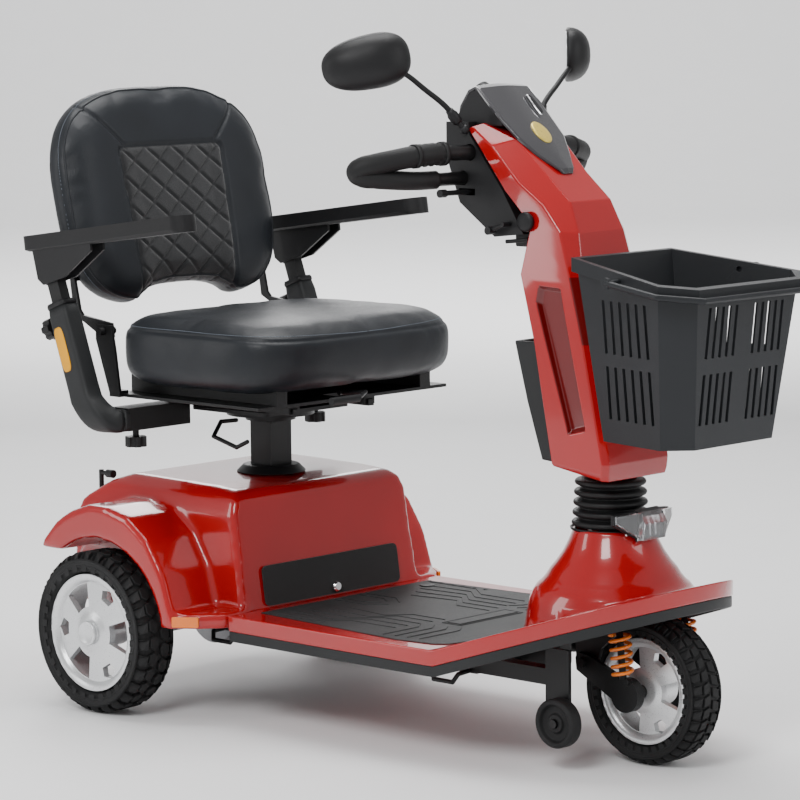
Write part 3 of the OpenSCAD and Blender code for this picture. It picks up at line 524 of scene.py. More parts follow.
HUB_CAP = [(-0.004, 0.0), (-0.004, 0.0185), (0.0, 0.0195), (0.0015, 0.0185), (0.0018, 0.0165),
           (0.0010, 0.0150), (0.0012, 0.0)]
for side, s in (("left", 1), ("right", -1)):
    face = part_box("rear_rim_left" if s > 0 else "rear_rim_right")
    y_out = (face[1].y if s > 0 else face[0].y) * 1000
    place(lathe("hub_cap_" + side, HUB_CAP, P(-430, y_out - s * 0.4, 127), (0, s, 0), SILVER, 48, wrap=False),
          "rear_wheel_" + side, "rim_silver")


# ---------------------------------------------------------------- rear shroud

HUMP = [(-200, 150), (-203, 170), (-228, 338), (-244, 350), (-300, 355), (-484, 358),
        (-520, 346), (-576, 312), (-590, 290), (-598, 150)]
SECTION = [(-200, 130), (-193, 318), (-184, 340), (-164, 356), (-120, 370), (120, 370),
           (164, 356), (184, 340), (193, 318), (200, 130)]
FENDER = [(-256, 150), (-262, 178), (-280, 232), (-314, 282), (-358, 313), (-408, 325),
          (-450, 325), (-490, 312), (-524, 292), (-554, 262), (-580, 205), (-594, 150)]
shroud = prism("shroud_body", HUMP, "xz", -200, 200)
combine(shroud, prism("cut", SECTION, "yz", -700, -100), "INTERSECT")
for s in (-1, 1):
    y0, y1 = sorted((s * 180, s * 296))
    combine(shroud, prism("f", FENDER, "xz", y0, y1), "UNION")
    combine(shroud, prism("g", [(-200, s * 180), (-200, s * 236), (-226, s * 268), (-262, s * 292),
                                (-300, s * 292), (-300, s * 180)][::s], "xy", 150, 174), "UNION")
for s in (-1, 1):
    arch = [(-430 + 146 * math.cos(t), 127 + 146 * math.sin(t))
            for t in [2 * math.pi * i / 48 for i in range(48)]]
    y0, y1 = sorted((s * 210, s * 330))
    combine(shroud, prism("a", arch, "xz", y0, y1), "DIFFERENCE")
    y0, y1 = sorted((s * 206, s * 400))
    behind = [(-700, 100), (-500, 100), (-500, 246), (-700, 246)]
    combine(shroud, prism("b", behind, "xz", y0, y1), "DIFFERENCE")
modify(shroud, "REMESH", mode="VOXEL", voxel_size=0.004)
bake(shroud)
modify(shroud, "SMOOTH", factor=0.5, iterations=22)
bake(shroud)
bm = bmesh.new()
bm.from_mesh(shroud.data)
floor_z = 0.1512
for v in bm.verts:
    if v.co.z < 0.158:
        v.co.z = 0.150 + max(0, v.co.z - 0.150) * 0.4 if v.co.z > 0.151 else 0.150
bmesh.ops.delete(bm, geom=[f for f in bm.faces if f.normal.z < -0.9 and f.calc_center_median().z < floor_z],
                 context="FACES")
bm.to_mesh(shroud.data)
bm.free()
modify(shroud, "SOLIDIFY", thickness=0.0032, offset=-1)
bake(shroud)
shroud.data.polygons.foreach_set("use_smooth", [True] * len(shroud.data.polygons))
shroud.data.materials.clear()
shroud.data.materials.append(RED)
place(shroud, "chassis", "red_gloss", "rear_shroud")


# ---------------------------------------------------------------- front cover

CONE_X = 372
# height and radius, from the neck down
cone = [(338, 59), (334, 60.2), (320, 65.5), (304, 73), (290, 82), (280, 90), (270, 95.5), (262, 101.5),
        (256, 108), (248, 113), (236, 117.5), (216, 121), (196, 125), (180, 129), (172, 132), (166, 135)]
rings = []
STEPS = 120
for z, r in cone:
    ring = []
    for i in range(STEPS):
        t = 2 * math.pi * i / STEPS
        # slightly squared towards the base, rounder at the neck
        k = (338 - z) / 172
        pw = 2 + 0.5 * k
        cx = math.copysign(abs(math.cos(t)) ** (2 / pw), math.cos(t))
        sy = math.copysign(abs(math.sin(t)) ** (2 / pw), math.sin(t))
        x = CONE_X + r * cx
        y = min(121, r) * sy
        deck = 171.4 + max(0, x - 225) * 0.32
        ring.append(P(x, y, max(z, deck)))
    rings.append(ring)
front = loft("front_cover", rings, RED, caps=False)
modify(front, "SOLIDIFY", thickness=0.003, offset=-1)
bake(front)
place(front, "chassis", "red_gloss", "front_shroud")
LIP = [(-0.002, 0.0585), (0.001, 0.0595), (0.0015, 0.0570), (-0.002, 0.0560)]
lip = lathe("front_cover_lip", LIP, P(CONE_X - 6, 0, 337.6), (0, 0, 1), TRIM, 64)
place(lip, "chassis", "trim_black")

# bellows: five soft folds
prof = []
for i in range(5):
    zc, ro, ri = 6 + i * 15, 57 - i * 1.2, 45.5 - i * 1.2
    for j in range(8):
        a = -math.pi / 2 + math.pi * j / 7
        prof.append(((zc + 4.6 * math.sin(a)) / 1000, (ro - 5 + 5 * math.cos(a)) / 1000))
    if i < 4:
        prof.append(((zc + 6.2) / 1000, (ri + 1.5) / 1000))
        prof.append(((zc + 8.8) / 1000, (ri + 0.9) / 1000))
prof += [(0.0705, 0.044), (0.0715, 0.042), (0.0705, 0.039), (0.002, 0.040)]
boot = lathe("boot", prof, P(366, 0, 339), (0, 0, 1), BOOT, 72)
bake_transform(boot)
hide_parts("bellows")


# ---------------------------------------------------------------- springs

END_COIL = 0.12


def helix(name, base, top, turns, radius, wire, mat):
    axis = (top - base)
    side = Vector((0, 1, 0))
    other = axis.normalized().cross(side)
    pts = []
    n = int(turns * 16)
    for i in range(n + 1):
        f = i / n
        t = 2 * math.pi * turns * f
        middle = min(max(f, END_COIL), 1 - END_COIL)     # the end coils lie closer together
        ease = middle + (f - middle) * 0.55
        pts.append(base + axis * ease + (side * math.cos(t) + other * math.sin(t)) * radius)
    return tube(name, pts, wire, mat, sides=4)


SPRING_Y = 74.5
coils = [helix(f"coil{s}", P(451, s * SPRING_Y, 136), P(444, s * SPRING_Y, 203), 5.5, 0.0142, 0.0027, ORANGE)
         for s in (-1, 1)]
rods = [tube(f"rod{s}", [P(451, s * SPRING_Y, 134), P(443, s * SPRING_Y, 212)], 0.0052, FRAME,
             smooth_path=False)
        for s in (-1, 1)]
springs = join("springs", coils + rods)
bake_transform(springs)
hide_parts("suspension_spring")


# ---------------------------------------------------------------- tiller cover

# stations: rear (x, z), front (x, z), half width, where the side ends, half width of the front face
STATIONS = [
    ((318, 430), (416, 414), 72, 0.93, 64), ((317, 434), (418, 424), 75, 0.93, 66),
    ((316, 440), (420, 440), 75, 0.93, 66), ((284, 610), (384.7, 610), 75, 0.92, 66),
    ((258, 706), (364, 706), 74, 0.88, 58), ((276, 776), (350, 768), 72, 0.76, 50),
    ((252, 801), (330, 812), 71, 0.60, 45), ((228, 826), (285, 850), 73, 0.48, 45),
    ((184, 884), (232, 900), 75, 0.42, 50), ((158, 914), (174, 923), 74, 0.45, 58),
]
rings = []
for (rx, rz), (fx, fz), w, m, wf in STATIONS:
    mx, mz = rx + (fx - rx) * m, rz + (fz - rz) * m
    sec = [(rx, rz, -w), (mx, mz, -w), (fx, fz, -wf), (fx, fz, wf), (mx, mz, w), (rx, rz, w)]
    rings.append([P(x, y, z) for x, z, y in sec])
cover = loft("tiller_shell", rings, RED, smooth=False)
RECESS = [(350, 478), (382, 486), (334, 690), (292, 692), (288, 668)]
for s in (-1, 1):
    inner = [((x - 336) * 0.86 + 336, (z - 590) * 0.94 + 590) for x, z in RECESS]
    a = [P(x, s * 66, z) for x, z in inner]
    b = [P(x, s * 76, z) for x, z in RECESS]
    cutter = loft("cut", [a, b], RED_PAINTED_SHADE, smooth=False)
    combine(cover, cutter, "DIFFERENCE")
cover.data.materials.clear()
cover.data.materials.append(RED)
cover.data.materials.append(RED_PAINTED_SHADE)
# faces inside the recess on each side get the darker red: painted shade
for p in cover.data.polygons:
    c = p.center * 1000
    if 64 < abs(c.y) < 72.4 and 470 < c.z < 700 and 285 < c.x < 390:
        p.material_index = 1
soften(cover, 2.2, 3, 12)
bake(cover)
place(cover, "tiller", "red_gloss", "tiller_cover")

PIVOT_CAP = [(0, 0), (0, 0.013), (0.003, 0.0145), (0.0065, 0.014), (0.0085, 0.0115), (0.0092, 0.0)]
caps = []
for s in (-1, 1):
    caps.append(lathe(f"pivot_cap{s}", PIVOT_CAP, P(272, s * 73.5, 783), (0, s, 0), TRIM, 40, wrap=False))
place(join("pivot_caps", caps), "tiller", "trim_black")

# top panel: a pointed plate with a ridge along its middle
PANEL = [(289, 851, 10), (286, 858, 16), (262, 882, 37), (240, 905, 51), (214, 929, 55), (190, 953, 57),
         (166, 976, 56), (150, 979, 55), (138, 974, 54), (120, 951, 52), (114, 930, 50)]
rings = []
for i, (x, z, w) in enumerate(PANEL):
    drop = 3.5 if i > 1 else 1.0
    base = 9 if i > 1 else 5
    nx, nz = (0.70, 0.72) if i < 7 else (-0.5, 0.86)
    sec = [(-w, -base), (-w, -drop - 1.5), (-w * 0.93, -drop), (-w * 0.3, -0.6), (0, 0), (w * 0.3, -0.6),
           (w * 0.93, -drop), (w, -drop - 1.5), (w, -base)]
    rings.append([P(x + nx * d, y, z + nz * d) for y, d in sec])
panel = loft("top_panel", rings, DASH, smooth=False)
soften(panel, 1.6, 3, 14)
bake(panel)
place(panel, "tiller", "dash_grey", "dash_panel")


def plate_on_panel(name, x, y, z, rx, ry, thick, mat, count=48, power=2.0):
    n = Vector((0.70, 0, 0.72)).normalized()
    u = Vector((-0.72, 0, 0.70)).normalized()
    c = P(x, y, z)
    rings = []
    for h, k in ((-0.002, 1.0), (thick * 0.6, 1.0), (thick, 0.93), (thick * 1.05, 0.6)):
        rings.append([c + n * h + u * (a * k) + Vector((0, b * k, 0))
                      for a, b in rounded_outline(rx / 1000, ry / 1000, power, count)])
    return loft(name, rings, mat)


place(plate_on_panel("badge", 236, 0, 908.5, 21, 15, 0.0016, GOLD), "tiller", "chrome")
place(plate_on_panel("panel_slot", 193, 34, 949, 19, 6, 0.0005, TRIM, power=4), "tiller", "trim_black")
arc = tube("panel_arc", [P(213, 27, 932), P(199, 25, 947), P(184, 27, 961.5)], 0.0016, CHROME)
place(arc, "tiller", "chrome")
# housing behind the panel, seen from the rider's side
HOUSING = [(116, 930), (140, 972), (164, 972), (206, 926), (206, 918), (118, 918)]
face = prism("dash_face", HOUSING, "xz", -53, 53, TRIM)
soften(face, 2.5)
bake(face)
place(face, "tiller", "trim_black")

# box and thin rod under the head
place(block("head_box", (212, -32, 742), (262, 18, 765), TRIM, 2.0), "tiller", "trim_black")
rod = tube("head_rod", [P(262, -60, 756), P(248, -66, 754), P(228, -70, 752)], 0.003, TRIM)
place(rod, "tiller", "trim_black")


# ---------------------------------------------------------------- grips

def grip(s, name):
    """One closed handle loop, with two collars and rows of raised dots on its upper bar."""
    path = [(152, 128, 880), (149, 145, 880), (142, 176, 877.5), (130, 205, 873), (116, 230, 868),
            (103, 243, 863), (97, 246, 857), (100, 240, 851), (112, 221, 847), (126, 196, 844),
            (138, 165, 842), (144, 130, 842)]
    rad = [16.0, 16.4, 16.0, 15.6, 15.4, 15.6, 15.4, 15.2, 14.8, 14.2, 13.8, 13.6]
    loop = tube(name + "_loop", [P(x, s * y, z) for x, y, z in path], [r / 1000 for r in rad], GRIP, sides=7)
    parts = [loop]
    for y in (124, 172):
        f = (y - 124) / 48
        c = P(152 - 9 * f, s * y, 880 - 2 * f)
        collar = [(-0.004, 0.0150), (-0.0035, 0.0178), (0.0035, 0.0178), (0.004, 0.0150)]
        parts.append(lathe(f"{name}_collar{y}", collar, c, (-0.17, s, -0.03), GRIP, 40))
    # raised dots on the upper grip
    verts, faces = [], []
    for i in range(7):
        f = i / 6
        c = P(151 - 7 * f, s * (131 + 34 * f), 880 - 1.6 * f)
        for j in range(12):
            a = 2 * math.pi * (j + 0.5 * (i % 2)) / 12
            d = Vector((math.cos(a), 0, math.sin(a)))
            t = Vector((-math.sin(a), 0, math.cos(a)))
            q = c + d * 0.0160
            base = len(verts)
            for h, k in ((0, 1.0), (0.0010, 0.75)):
                for m in range(6):
                    g = m * math.pi / 3
                    verts.append(q + d * h + (t * math.cos(g) + Vector((0, 1, 0)) * math.sin(g)) * 0.0021 * k)
            for m in range(6):
                faces.append((base + m, base + (m + 1) % 6, base + 6 + (m + 1) % 6, base + 6 + m))
            faces.append(tuple(base + 6 + m for m in range(6)))
    parts.append(add_mesh(name + "_dots", verts, faces, GRIP))
    return join(name, parts)


grips = join("grips", [grip(-1, "grip_r"), grip(1, "grip_l")])
place(grips, "tiller", "grip_rubber", "handlebar_grips")


# ---------------------------------------------------------------- mirrors

def mirror(s, name, body, node):
    ball = P(157, s * 80, 914)
    parts = []
    q = [ball, P(152, s * 95, 930), P(149, s * 104, 942), P(141, s * 148, 974), P(132, s * 190, 1001),
         P(125, s * 204, 1006)]
    parts.append(tube(name + "_stem", q, [0.0046, 0.0045, 0.0042, 0.004, 0.0038, 0.0036], TRIM))
    nut = [(-0.011, 0.0), (-0.011, 0.0062), (-0.008, 0.0082), (0.004, 0.0082), (0.009, 0.0062),
           (0.013, 0.0058), (0.013, 0.0)]
    parts.append(lathe(name + "_nut", nut, P(151.5, s * 97, 932.5), q[2] - q[1], TRIM, 24, wrap=False))
    parts.append(lathe(name + "_ball", [(0.0075 * math.sin(a), max(0.0, 0.0075 * math.cos(a)))
                                        for a in [-math.pi / 2 + math.pi * i / 12 for i in range(13)]],
                       ball, (0, 0, 1), TRIM, 24, wrap=False))
    # egg-shaped shell, deeper towards the front, open to the rider
    c = P(100, s * 227, 1014)
    rot = Matrix.Rotation(math.radians(s * 43), 3, "Z") @ Matrix.Rotation(math.radians(-s * 11), 3, "X")
    rings = []
    for depth, k in ((-9, 0.90), (-8, 0.985), (-5, 1.0), (2, 0.985), (9, 0.93), (16, 0.83), (22, 0.68),
                     (26, 0.50), (28.5, 0.28), (29.5, 0.05)):
        ring = []
        for a, b in rounded_outline(65, 39.5, 2.5, 72):
            taper = 1 - 0.10 * (a / 65) * s
            ring.append(c + rot @ Vector((depth, a * k, b * k * taper)) / 1000)
        rings.append(ring)
    shell = loft(name + "_shell", rings, TRIM)
    parts.append(shell)
    rings = []
    for depth, k in ((-8.9, 0.86), (-9.4, 0.86), (-9.6, 0.84), (-9.7, 0.5)):
        rings.append([c + rot @ Vector((depth, a * k, b * k * (1 - 0.10 * (a / 65) * s))) / 1000
                      for a, b in rounded_outline(65, 39.5, 2.5, 72)])
    parts.append(loft(name + "_glass", rings, GLASS))
    place(join(name, parts), body, "trim_black", node)


mirror(1, "mirror_l", "mirror_l", "mirror_left")
mirror(-1, "mirror_r", "mirror_r", "mirror_right")


# ---------------------------------------------------------------- arm posts

def arm_post(s, name, body, node):
    lean = math.radians(20)
    up_dir = Vector((-math.sin(lean), 0, math.cos(lean)))
    fwd = Vector((math.cos(lean), 0, math.sin(lean)))
    foot = P(-470, s * 262, 453)
    path, frames = [], []
    side = Vector((0, s, 0))
    # from the seat, outwards, round the elbow, then up the post
    start = P(-439, s * 226, 452.5)
    for i in range(5):
        f = i / 4
        path.append(start + side * (0.012 * f))
        frames.append((Vector((1, 0, 0)), Vector((0, 0, 1))))
    corner = foot + up_dir * 0.034
    a0 = path[-1]
    for i in range(1, 13):
        f = i / 12
        ctrl = P(-446, s * 264, 448)
        p = a0 * (1 - f) ** 2 + ctrl * 2 * f * (1 - f) + corner * f ** 2
        path.append(p)
        e = f * f * (3 - 2 * f)
        n1 = (Vector((1, 0, 0)) * (1 - e) + fwd * e).normalized()
        tan = (side * (1 - e) + up_dir * e).normalized()
        n2 = n1.cross(tan).normalized() * (1 if s < 0 else -1)
        frames.append((n1, n2))
    for i in range(1, 9):
        f = i / 8
        path.append(corner + up_dir * (0.156 * f))
        frames.append((fwd, fwd.cross(up_dir).normalized() * (1 if s < 0 else -1)))
    rings = []
    n = len(path)
    for i, (p, (u, v)) in enumerate(zip(path, frames)):
        k = 1.0
        if i < 2:
            k = 0.86 + 0.14 * i
        a, b = 0.0225 * k, 0.0175 * k
        if 4 < i < 17:
            bulge = math.sin((i - 4) / 13 * math.pi)
            a, b = a + 0.002 * bulge, b + 0.002 * bulge
        if i == n - 1:
            a, b = a * 0.9, b * 0.88
        rings.append([p + u * x + v * y for x, y in rounded_outline(a, b, 5.0, 40)])
    post = loft(name, rings, TRIM_GREY)
    # square tube that slides in the seat frame
    y0, y1 = sorted((s * 112, s * 240))
    rail = block(name + "_rail", (-450.6, y0, 441.4), (-423.4, y1, 466.6), FRAME, 2.0)
    strip_rings = []
    for depth, k in ((0.0, 1.0), (0.0012, 1.0), (0.0016, 0.92)):
        strip_rings.append([foot + up_dir * (0.118 + a * k) + fwd * (-0.005 + b * k) + side * (0.0172 + depth)
                            for a, b in rounded_outline(0.036, 0.0105, 4.0, 36)])
    strip = loft(name + "_strip", strip_rings, YELLOW)
    rim = foot + up_dir * 0.190
    collar_rings = []
    for h, k in ((-0.004, 0.97), (0.0, 0.99), (0.004, 0.93), (0.005, 0.70)):
        collar_rings.append([rim + up_dir * h + fwd * (x * k) + side * (y * k)
                             for x, y in rounded_outline(0.0225, 0.0178, 4.5, 40)])
    collar = loft(name + "_collar", collar_rings, TRIM)
    place(join(name, [post, rail, strip, collar]), body, "trim_black", node)


arm_post(1, "post_left", "arm_left", "arm_post_left")
arm_post(-1, "post_right", "arm_right", "arm_post_right")


# ---------------------------------------------------------------- seat cushion

CUSHION_X = -296


def cushion_form():
    rings = []
    cx = CUSHION_X
    for z, inset in ((512, 26), (515, 14), (522, 6), (536, 1), (560, 0), (584, 1), (594, 4), (602, 12),
                     (608, 28), (611, 56), (613, 96), (614, 150)):
        ring = []
        for a, b in rounded_outline(193 - inset, 237 - inset, 4.6, 160):
            x = cx + a
            # the front edge falls away a little
            fall = max(0, (a - 60) / 132)
            zz = z - (7 * fall ** 2 if z > 590 else 0) + (6 * fall ** 2 if z < 560 else 0)
            ring.append(P(x, b, zz))
        rings.append(ring)
    return loft("cushion", rings, VINYL)


cushion = inflate(cushion_form(), 0.006, 4.0, 0.006)
seam_z = 0.5945
for v in cushion.data.vertices:
    x = v.co.x - SHIFT
    centre = Vector((CUSHION_X / 1000 + SHIFT, 0, v.co.z))
    out = (v.co - centre)
    fall = max(0, (x + 0.236) / 0.132)
    d = v.co.z - (seam_z - 0.006 * min(1, fall) ** 2)
    if out.length > 0.15:
        v.co -= out.normalized() * 0.0022 * math.exp(-(d / 0.0022) ** 2)
    # soft puckers along the seam and slight wrinkles on the sides
    w = noise.noise(Vector((v.co.x * 22, v.co.y * 22, v.co.z * 30)))
    if v.co.z < seam_z:
        v.co += out.normalized() * 0.0011 * w
    else:
        v.co.z += 0.0012 * w
cushion.data.materials.clear()
cushion.data.materials.append(VINYL)
place(cushion, "seat", "vinyl", "seat_cushion")


def on_surface(obj, origin, direction):
    """Where a ray from origin meets obj, or None."""
    bpy.context.view_layer.update()
    hit, loc, _, _ = obj.ray_cast(origin, direction, distance=1.0)
    return loc if hit else None


def cushion_seam(z_off, count):
    pts = []
    for i in range(count):
        t = 2 * math.pi * i / count
        d = Vector((math.cos(t), math.sin(t), 0))
        x_guess = CUSHION_X / 1000 + 0.19 * math.cos(t)
        fall = max(0, (x_guess + 0.236) / 0.132)
        z = seam_z - 0.006 * min(1, fall) ** 2 + z_off
        origin = Vector((CUSHION_X / 1000 + SHIFT, 0, z)) + d * 0.6
        p = on_surface(cushion, origin, -d)
        if p:
            pts.append(p + d * 0.0002)
    return pts


stitches = capsules("cushion_stitches", cushion_seam(0.0052, 330), 0.0036, 0.00055, THREAD)
place(stitches, "seat", "vinyl")


# ---------------------------------------------------------------- backrest

RECLINE = math.radians(13)
HINGE = P(-487, 0, 588)
BACK_UP = Vector((-math.sin(RECLINE), 0, math.cos(RECLINE)))
BACK_FWD = Vector((math.cos(RECLINE), 0, math.sin(RECLINE)))


def on_back(x, y, z):
    """A point in the backrest's own frame, in millimetres, z up the backrest."""
    return HINGE + BACK_FWD * (x / 1000) + Vector((0, y / 1000, 0)) + BACK_UP * (z / 1000)


def back_outline(count=200):
    """Outline (y, z): a broad round top, sides pulled in a little, two lobes at the bottom."""
    pts = []
    for i in range(count):
        t = 2 * math.pi * i / count
        c, s = math.cos(t), math.sin(t)
        p = 2.9 if s > 0 else 3.6
        y = 231 * math.copysign(abs(c) ** (2 / p), c)
        z = 219 + 183 * math.copysign(abs(s) ** (2 / p), s)
        if s < 0:
            u = abs(y) / 231
            z += 30 * max(0, 1 - (u / 0.52) ** 3) * min(1, -s * 1.6)
            y *= 1 - 0.02 * -s
        pts.append((y, z))
    return pts


outline = back_outline()
mid = (0, 222)
rings = []
for x, k in ((-70, 0.70), (-72, 0.90), (-69, 0.965), (-61, 0.99), (-49, 1.0), (-37, 0.992), (-28, 0.965),
             (-21, 0.91), (-17, 0.80), (-15, 0.55), (-14.5, 0.25)):
    rings.append([on_back(x, mid[0] + (y - mid[0]) * k, mid[1] + (z - mid[1]) * k) for y, z in outline])
backrest = inflate(loft("back_pad", rings, VINYL), 0.0055, 4.0, 0.006)

PANEL_LO, PANEL_HI = 40, 294


def panel_half(z):
    """Half width of the quilted panel at height z: it narrows a little downwards."""
    return 102 + 11 * (z - PANEL_LO) / (PANEL_HI - PANEL_LO)


def seam_dist(y, z):
    """Distance in mm to the nearest sewn line on the front of the backrest."""
    w = panel_half(z)
    d = 1e9
    corner = 16
    if z < PANEL_HI + 6:
        dx, dz = abs(y) - (w - corner), z - (PANEL_HI - corner)
        if dx > 0 and dz > 0:
            d = min(d, abs(math.hypot(dx, dz) - corner))
        else:
            d = min(d, abs(max(dx, dz) - corner)) if z > PANEL_LO - 30 else d
    # lines that run from the panel's upper corners up and outwards
    if z > PANEL_HI - 8 and abs(y) > 94:
        target = 99 + (z - PANEL_HI) * 0.95
        if z < 388:
            d = min(d, abs(abs(y) - target) * 0.72)
    return d


inv = Matrix((BACK_FWD, Vector((0, 1, 0)), BACK_UP))
for v in backrest.data.vertices:
    q = inv @ (v.co - HINGE) * 1000
    x, y, z = q.x, q.y, q.z
    front_side = x > -40
    push = 0.0
    if front_side:
        w = panel_half(z)
        inside = abs(y) < w and z < PANEL_HI
        d = seam_dist(y, z)
        push -= 3.4 * math.exp(-(d / 3.2) ** 2)
        if inside:
            # diamond quilting
            g1 = ((y * 0.80 + (z - 60) * 0.95) % 44.0) / 44.0
            g2 = ((-y * 0.80 + (z - 60) * 0.95) % 44.0) / 44.0
            e1, e2 = min(g1, 1 - g1) * 44, min(g2, 1 - g2) * 44
            fade = min(1, max(0, (w - abs(y)) / 10)) * min(1, max(0, (PANEL_HI - z) / 10))
            push += fade * (1.6 - 3.0 * math.exp(-(min(e1, e2) / 2.8) ** 2))
            push -= 3.5 * min(1, (w - abs(y)) / 30) * 0.6
        else:
            # side bolsters stand a little proud
            above = max(0, z - PANEL_HI)
            push += 5.0 * math.exp(-((abs(y) - 158) / 44) ** 2) * math.exp(-(above / 40) ** 2)
    push += 1.3 * noise.noise(Vector((y * 0.018, z * 0.018, x * 0.02)))
    v.co += BACK_FWD * push / 1000
backrest.data.materials.clear()
backrest.data.materials.append(VINYL)
backrest.data.materials.append(QUILT)
for p in backrest.data.polygons:
    q = inv @ (p.center - HINGE) * 1000
    if q.x > -40 and abs(q.y) < panel_half(q.z) - 1 and q.z < PANEL_HI - 1:
        dx, dz = abs(q.y) - (panel_half(q.z) - 17), q.z - (PANEL_HI - 17)
        if not (dx > 0 and dz > 0 and math.hypot(dx, dz) > 15):
            p.material_index = 1
place(backrest, "back", "vinyl", "backrest")

# piping round the side and its line of stitches
def round_the_back(x, count):
    """Points on the backrest's side, all round, at depth x."""
    points = []
    for y, z in back_outline(count):
        p0 = on_back(x, mid[0] + (y - mid[0]) * 1.3, mid[1] + (z - mid[1]) * 1.3)
        d = (on_back(x, mid[0], mid[1]) - p0).normalized()
        hit = on_surface(backrest, p0, d)
        if hit:
            points.append(hit)
    return points


place(tube("back_piping", round_the_back(-27, 240), 0.0019, VINYL, closed=True, sides=4), "back", "vinyl")
place(capsules("back_stitches", round_the_back(-36, 300), 0.0033, 0.0005, THREAD), "back", "vinyl")


# ---------------------------------------------------------------- deck mat

z0, z1 = 171.0, 173.0
arc = [(CONE_X - 138 * math.cos(t), 138 * math.sin(t)) for t in [math.radians(38 - 4 * i) for i in range(20)]]
outline = [(-174, -188), (-174, 188), (130, 210), (196, 200), (214, 186), (222, 150), (250, 112)]
outline += [(x, y) for x, y in arc if abs(y) < 80]
outline += [(250, -112), (222, -150), (214, -186), (196, -200), (130, -210)]
sheet_mat = prism("mat_base", outline[::-1], "xy", z0, z1 - 0.6, MAT)
soften(sheet_mat, 0.8, 2)
bake(sheet_mat)


def rib(a, b, width, height=1.6):
    """A straight raised bar on the mat from a to b, in millimetres."""
    ax, ay = a
    bx, by = b
    L = math.hypot(bx - ax, by - ay)
    ux, uy = (bx - ax) / L, (by - ay) / L
    vx, vy = -uy * width / 2, ux * width / 2
    lo = [(ax + vx, ay + vy), (ax - vx, ay - vy), (bx - vx, by - vy), (bx + vx, by + vy)]
    k, e = 0.6, 0.5      # the top is narrower and shorter than the foot
    hi = [(ax + vx * k + ux * e, ay + vy * k + uy * e), (ax - vx * k + ux * e, ay - vy * k + uy * e),
          (bx - vx * k - ux * e, by - vy * k - uy * e), (bx + vx * k - ux * e, by + vy * k - uy * e)]
    return lo, hi, height


ribs = []


def path_ribs(pts, width=3.0):
    for a, b in zip(pts, pts[1:]):
        ribs.append(rib(a, b, width))


for s in (-1, 1):
    for k in range(5):
        o = 30 * k
        path_ribs([(-160 + o * 0.5, s * (178 - o * 0.9)), (-60 + o * 0.4, s * (178 - o * 0.8)),
                   (-20 + o * 0.3, s * (146 - o * 0.8)), (70 + o * 0.1, s * (146 - o * 0.8))])
    for k in range(4):
        x = 92 + 22 * k
        path_ribs([(x, s * (196 - 3 * k)), (x, s * (120 - 6 * k)), (x - 14, s * (100 - 6 * k))])
    for k in range(6):
        path_ribs([(-165 + 24 * k, s * 186), (-165 + 24 * k, s * 180)], 5)
    path_ribs([(-164, s * 20), (-110, s * 20), (-92, s * 6)])
    path_ribs([(-164, s * 36), (-100, s * 36), (-70, s * 12)])
frame_pts = [(96, -70), (96, 70), (132, 70), (132, -70), (96, -70)]
path_ribs(frame_pts, 3.5)
verts, faces = [], []
for lo, hi, height in ribs:
    base = len(verts)
    verts += [P(x, y, z1 - 1.0) for x, y in lo] + [P(x, y, z1 - 0.8 + height * 0.75) for x, y in hi]
    for j in range(4):
        k = (j + 1) % 4
        faces.append((base + j, base + k, base + 4 + k, base + 4 + j))
    faces.append((base + 4, base + 5, base + 6, base + 7))
    faces.append((base + 3, base + 2, base + 1, base))
rib_mesh = add_mesh("mat_ribs", verts, faces, MAT, smooth=False)
pad = block("mat_pad", (101, -65, 172), (127, 65, 173.8), MAT, 0.5, 2)
INSERT = [(0, 0), (0, 0.0125), (0.0012, 0.0125), (0.0018, 0.0105), (0.0010, 0.009), (0.0010, 0)]
ins = lathe("mat_insert", INSERT, P(-140, 150, 172.3), (0, 0, 1), TRIM, 40, wrap=False)
place(join("mat", [sheet_mat, rib_mesh, pad, ins]), "chassis", "mat_rubber", "deck_mat")


# ---------------------------------------------------------------- lamp details

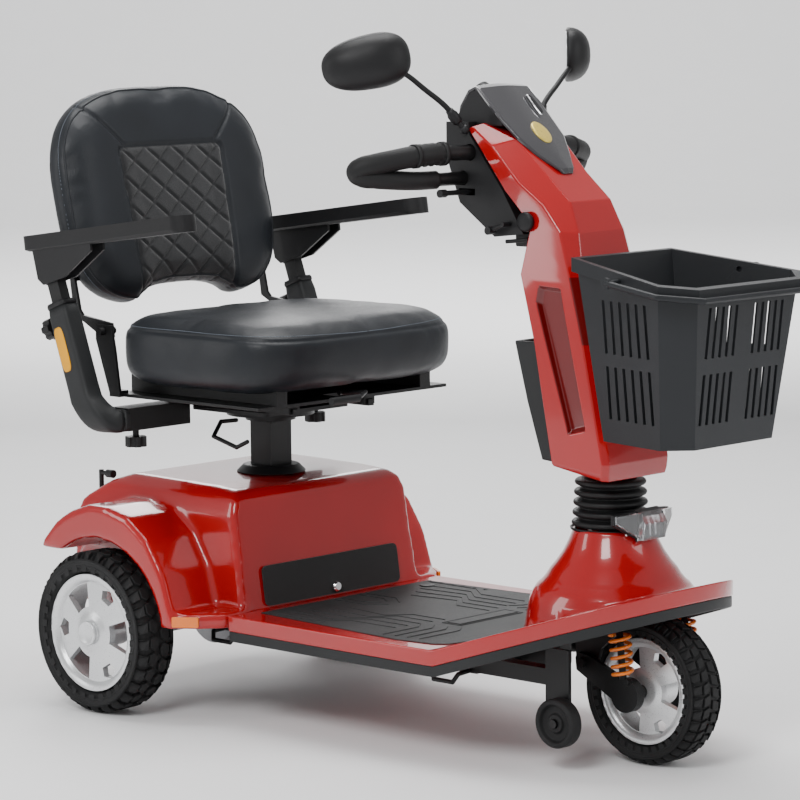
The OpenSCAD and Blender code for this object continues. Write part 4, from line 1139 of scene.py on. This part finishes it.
fins = []
for k in range(4):
    for s in (-1, 1):
        y = s * (6 + k * 10)
        x = 444 - abs(y) * 0.42
        fin = [(y, 334), (y + 4, 334), (y + 1, 349), (y + 4, 363), (y, 363), (y - 3, 349)]
        fins.append(prism(f"fin{k}{s}", fin, "yz", x - 5, x - 2.5, REFLECTOR))
place(join("lamp_fins", fins), "chassis", "chrome")


# ---------------------------------------------------------------- floor, light

rows = [(-16, 0)] + [(11 + 4 * math.sin(a), 4 - 4 * math.cos(a))
                     for a in [i * math.pi / 36 for i in range(19)]] + [(15, 12)]
away, across = Vector((-0.687, 0.727, 0)), Vector((0.727, 0.687, 0))
fl = add_mesh("floor",
              [away * d + across * w + Vector((0, 0, h - 0.0005)) for d, h in rows for w in (-20, 20)],
              [(2 * i, 2 * i + 1, 2 * i + 3, 2 * i + 2) for i in range(len(rows) - 1)],
              material("floor_paint", (0.93, 0.93, 0.935), 0.7, grain=60, bump=0.02, vary=0.006))

world = bpy.data.worlds.new("world")
bpy.context.scene.world = world
world.use_nodes = True
world.node_tree.nodes["Background"].inputs["Color"].default_value = (1, 1, 1, 1)
world.node_tree.nodes["Background"].inputs["Strength"].default_value = 0.55


def area(name, loc, target, size, power, size_y=None):
    d = bpy.data.lights.new(name, "AREA")
    d.energy = power
    d.size = size
    if size_y:
        d.shape = "RECTANGLE"
        d.size_y = size_y
    o = bpy.data.objects.new(name, d)
    bpy.context.scene.collection.objects.link(o)
    o.location = loc
    o.rotation_mode = "QUATERNION"
    o.rotation_quaternion = (Vector(target) - Vector(loc)).to_track_quat("-Z", "Y")


area("key", (1.2, -3.2, 3.2), (0, 0, 0.5), 1.4, 95)
area("top", (-0.3, 0.4, 3.6), (0, 0, 0.4), 2.0, 105)
area("fill", (3.6, 1.0, 1.8), (0, 0, 0.5), 1.6, 30)
area("back", (-3.0, 2.4, 2.4), (0, 0, 0.5), 1.6, 45)
area("side_strip", (-2.4, -2.8, 1.4), (-0.2, 0, 0.5), 0.6, 22, 2.0)

area("wall", (-3.4, 3.8, 4.6), (-9.0, 9.6, 2.0), 4.0, 700)
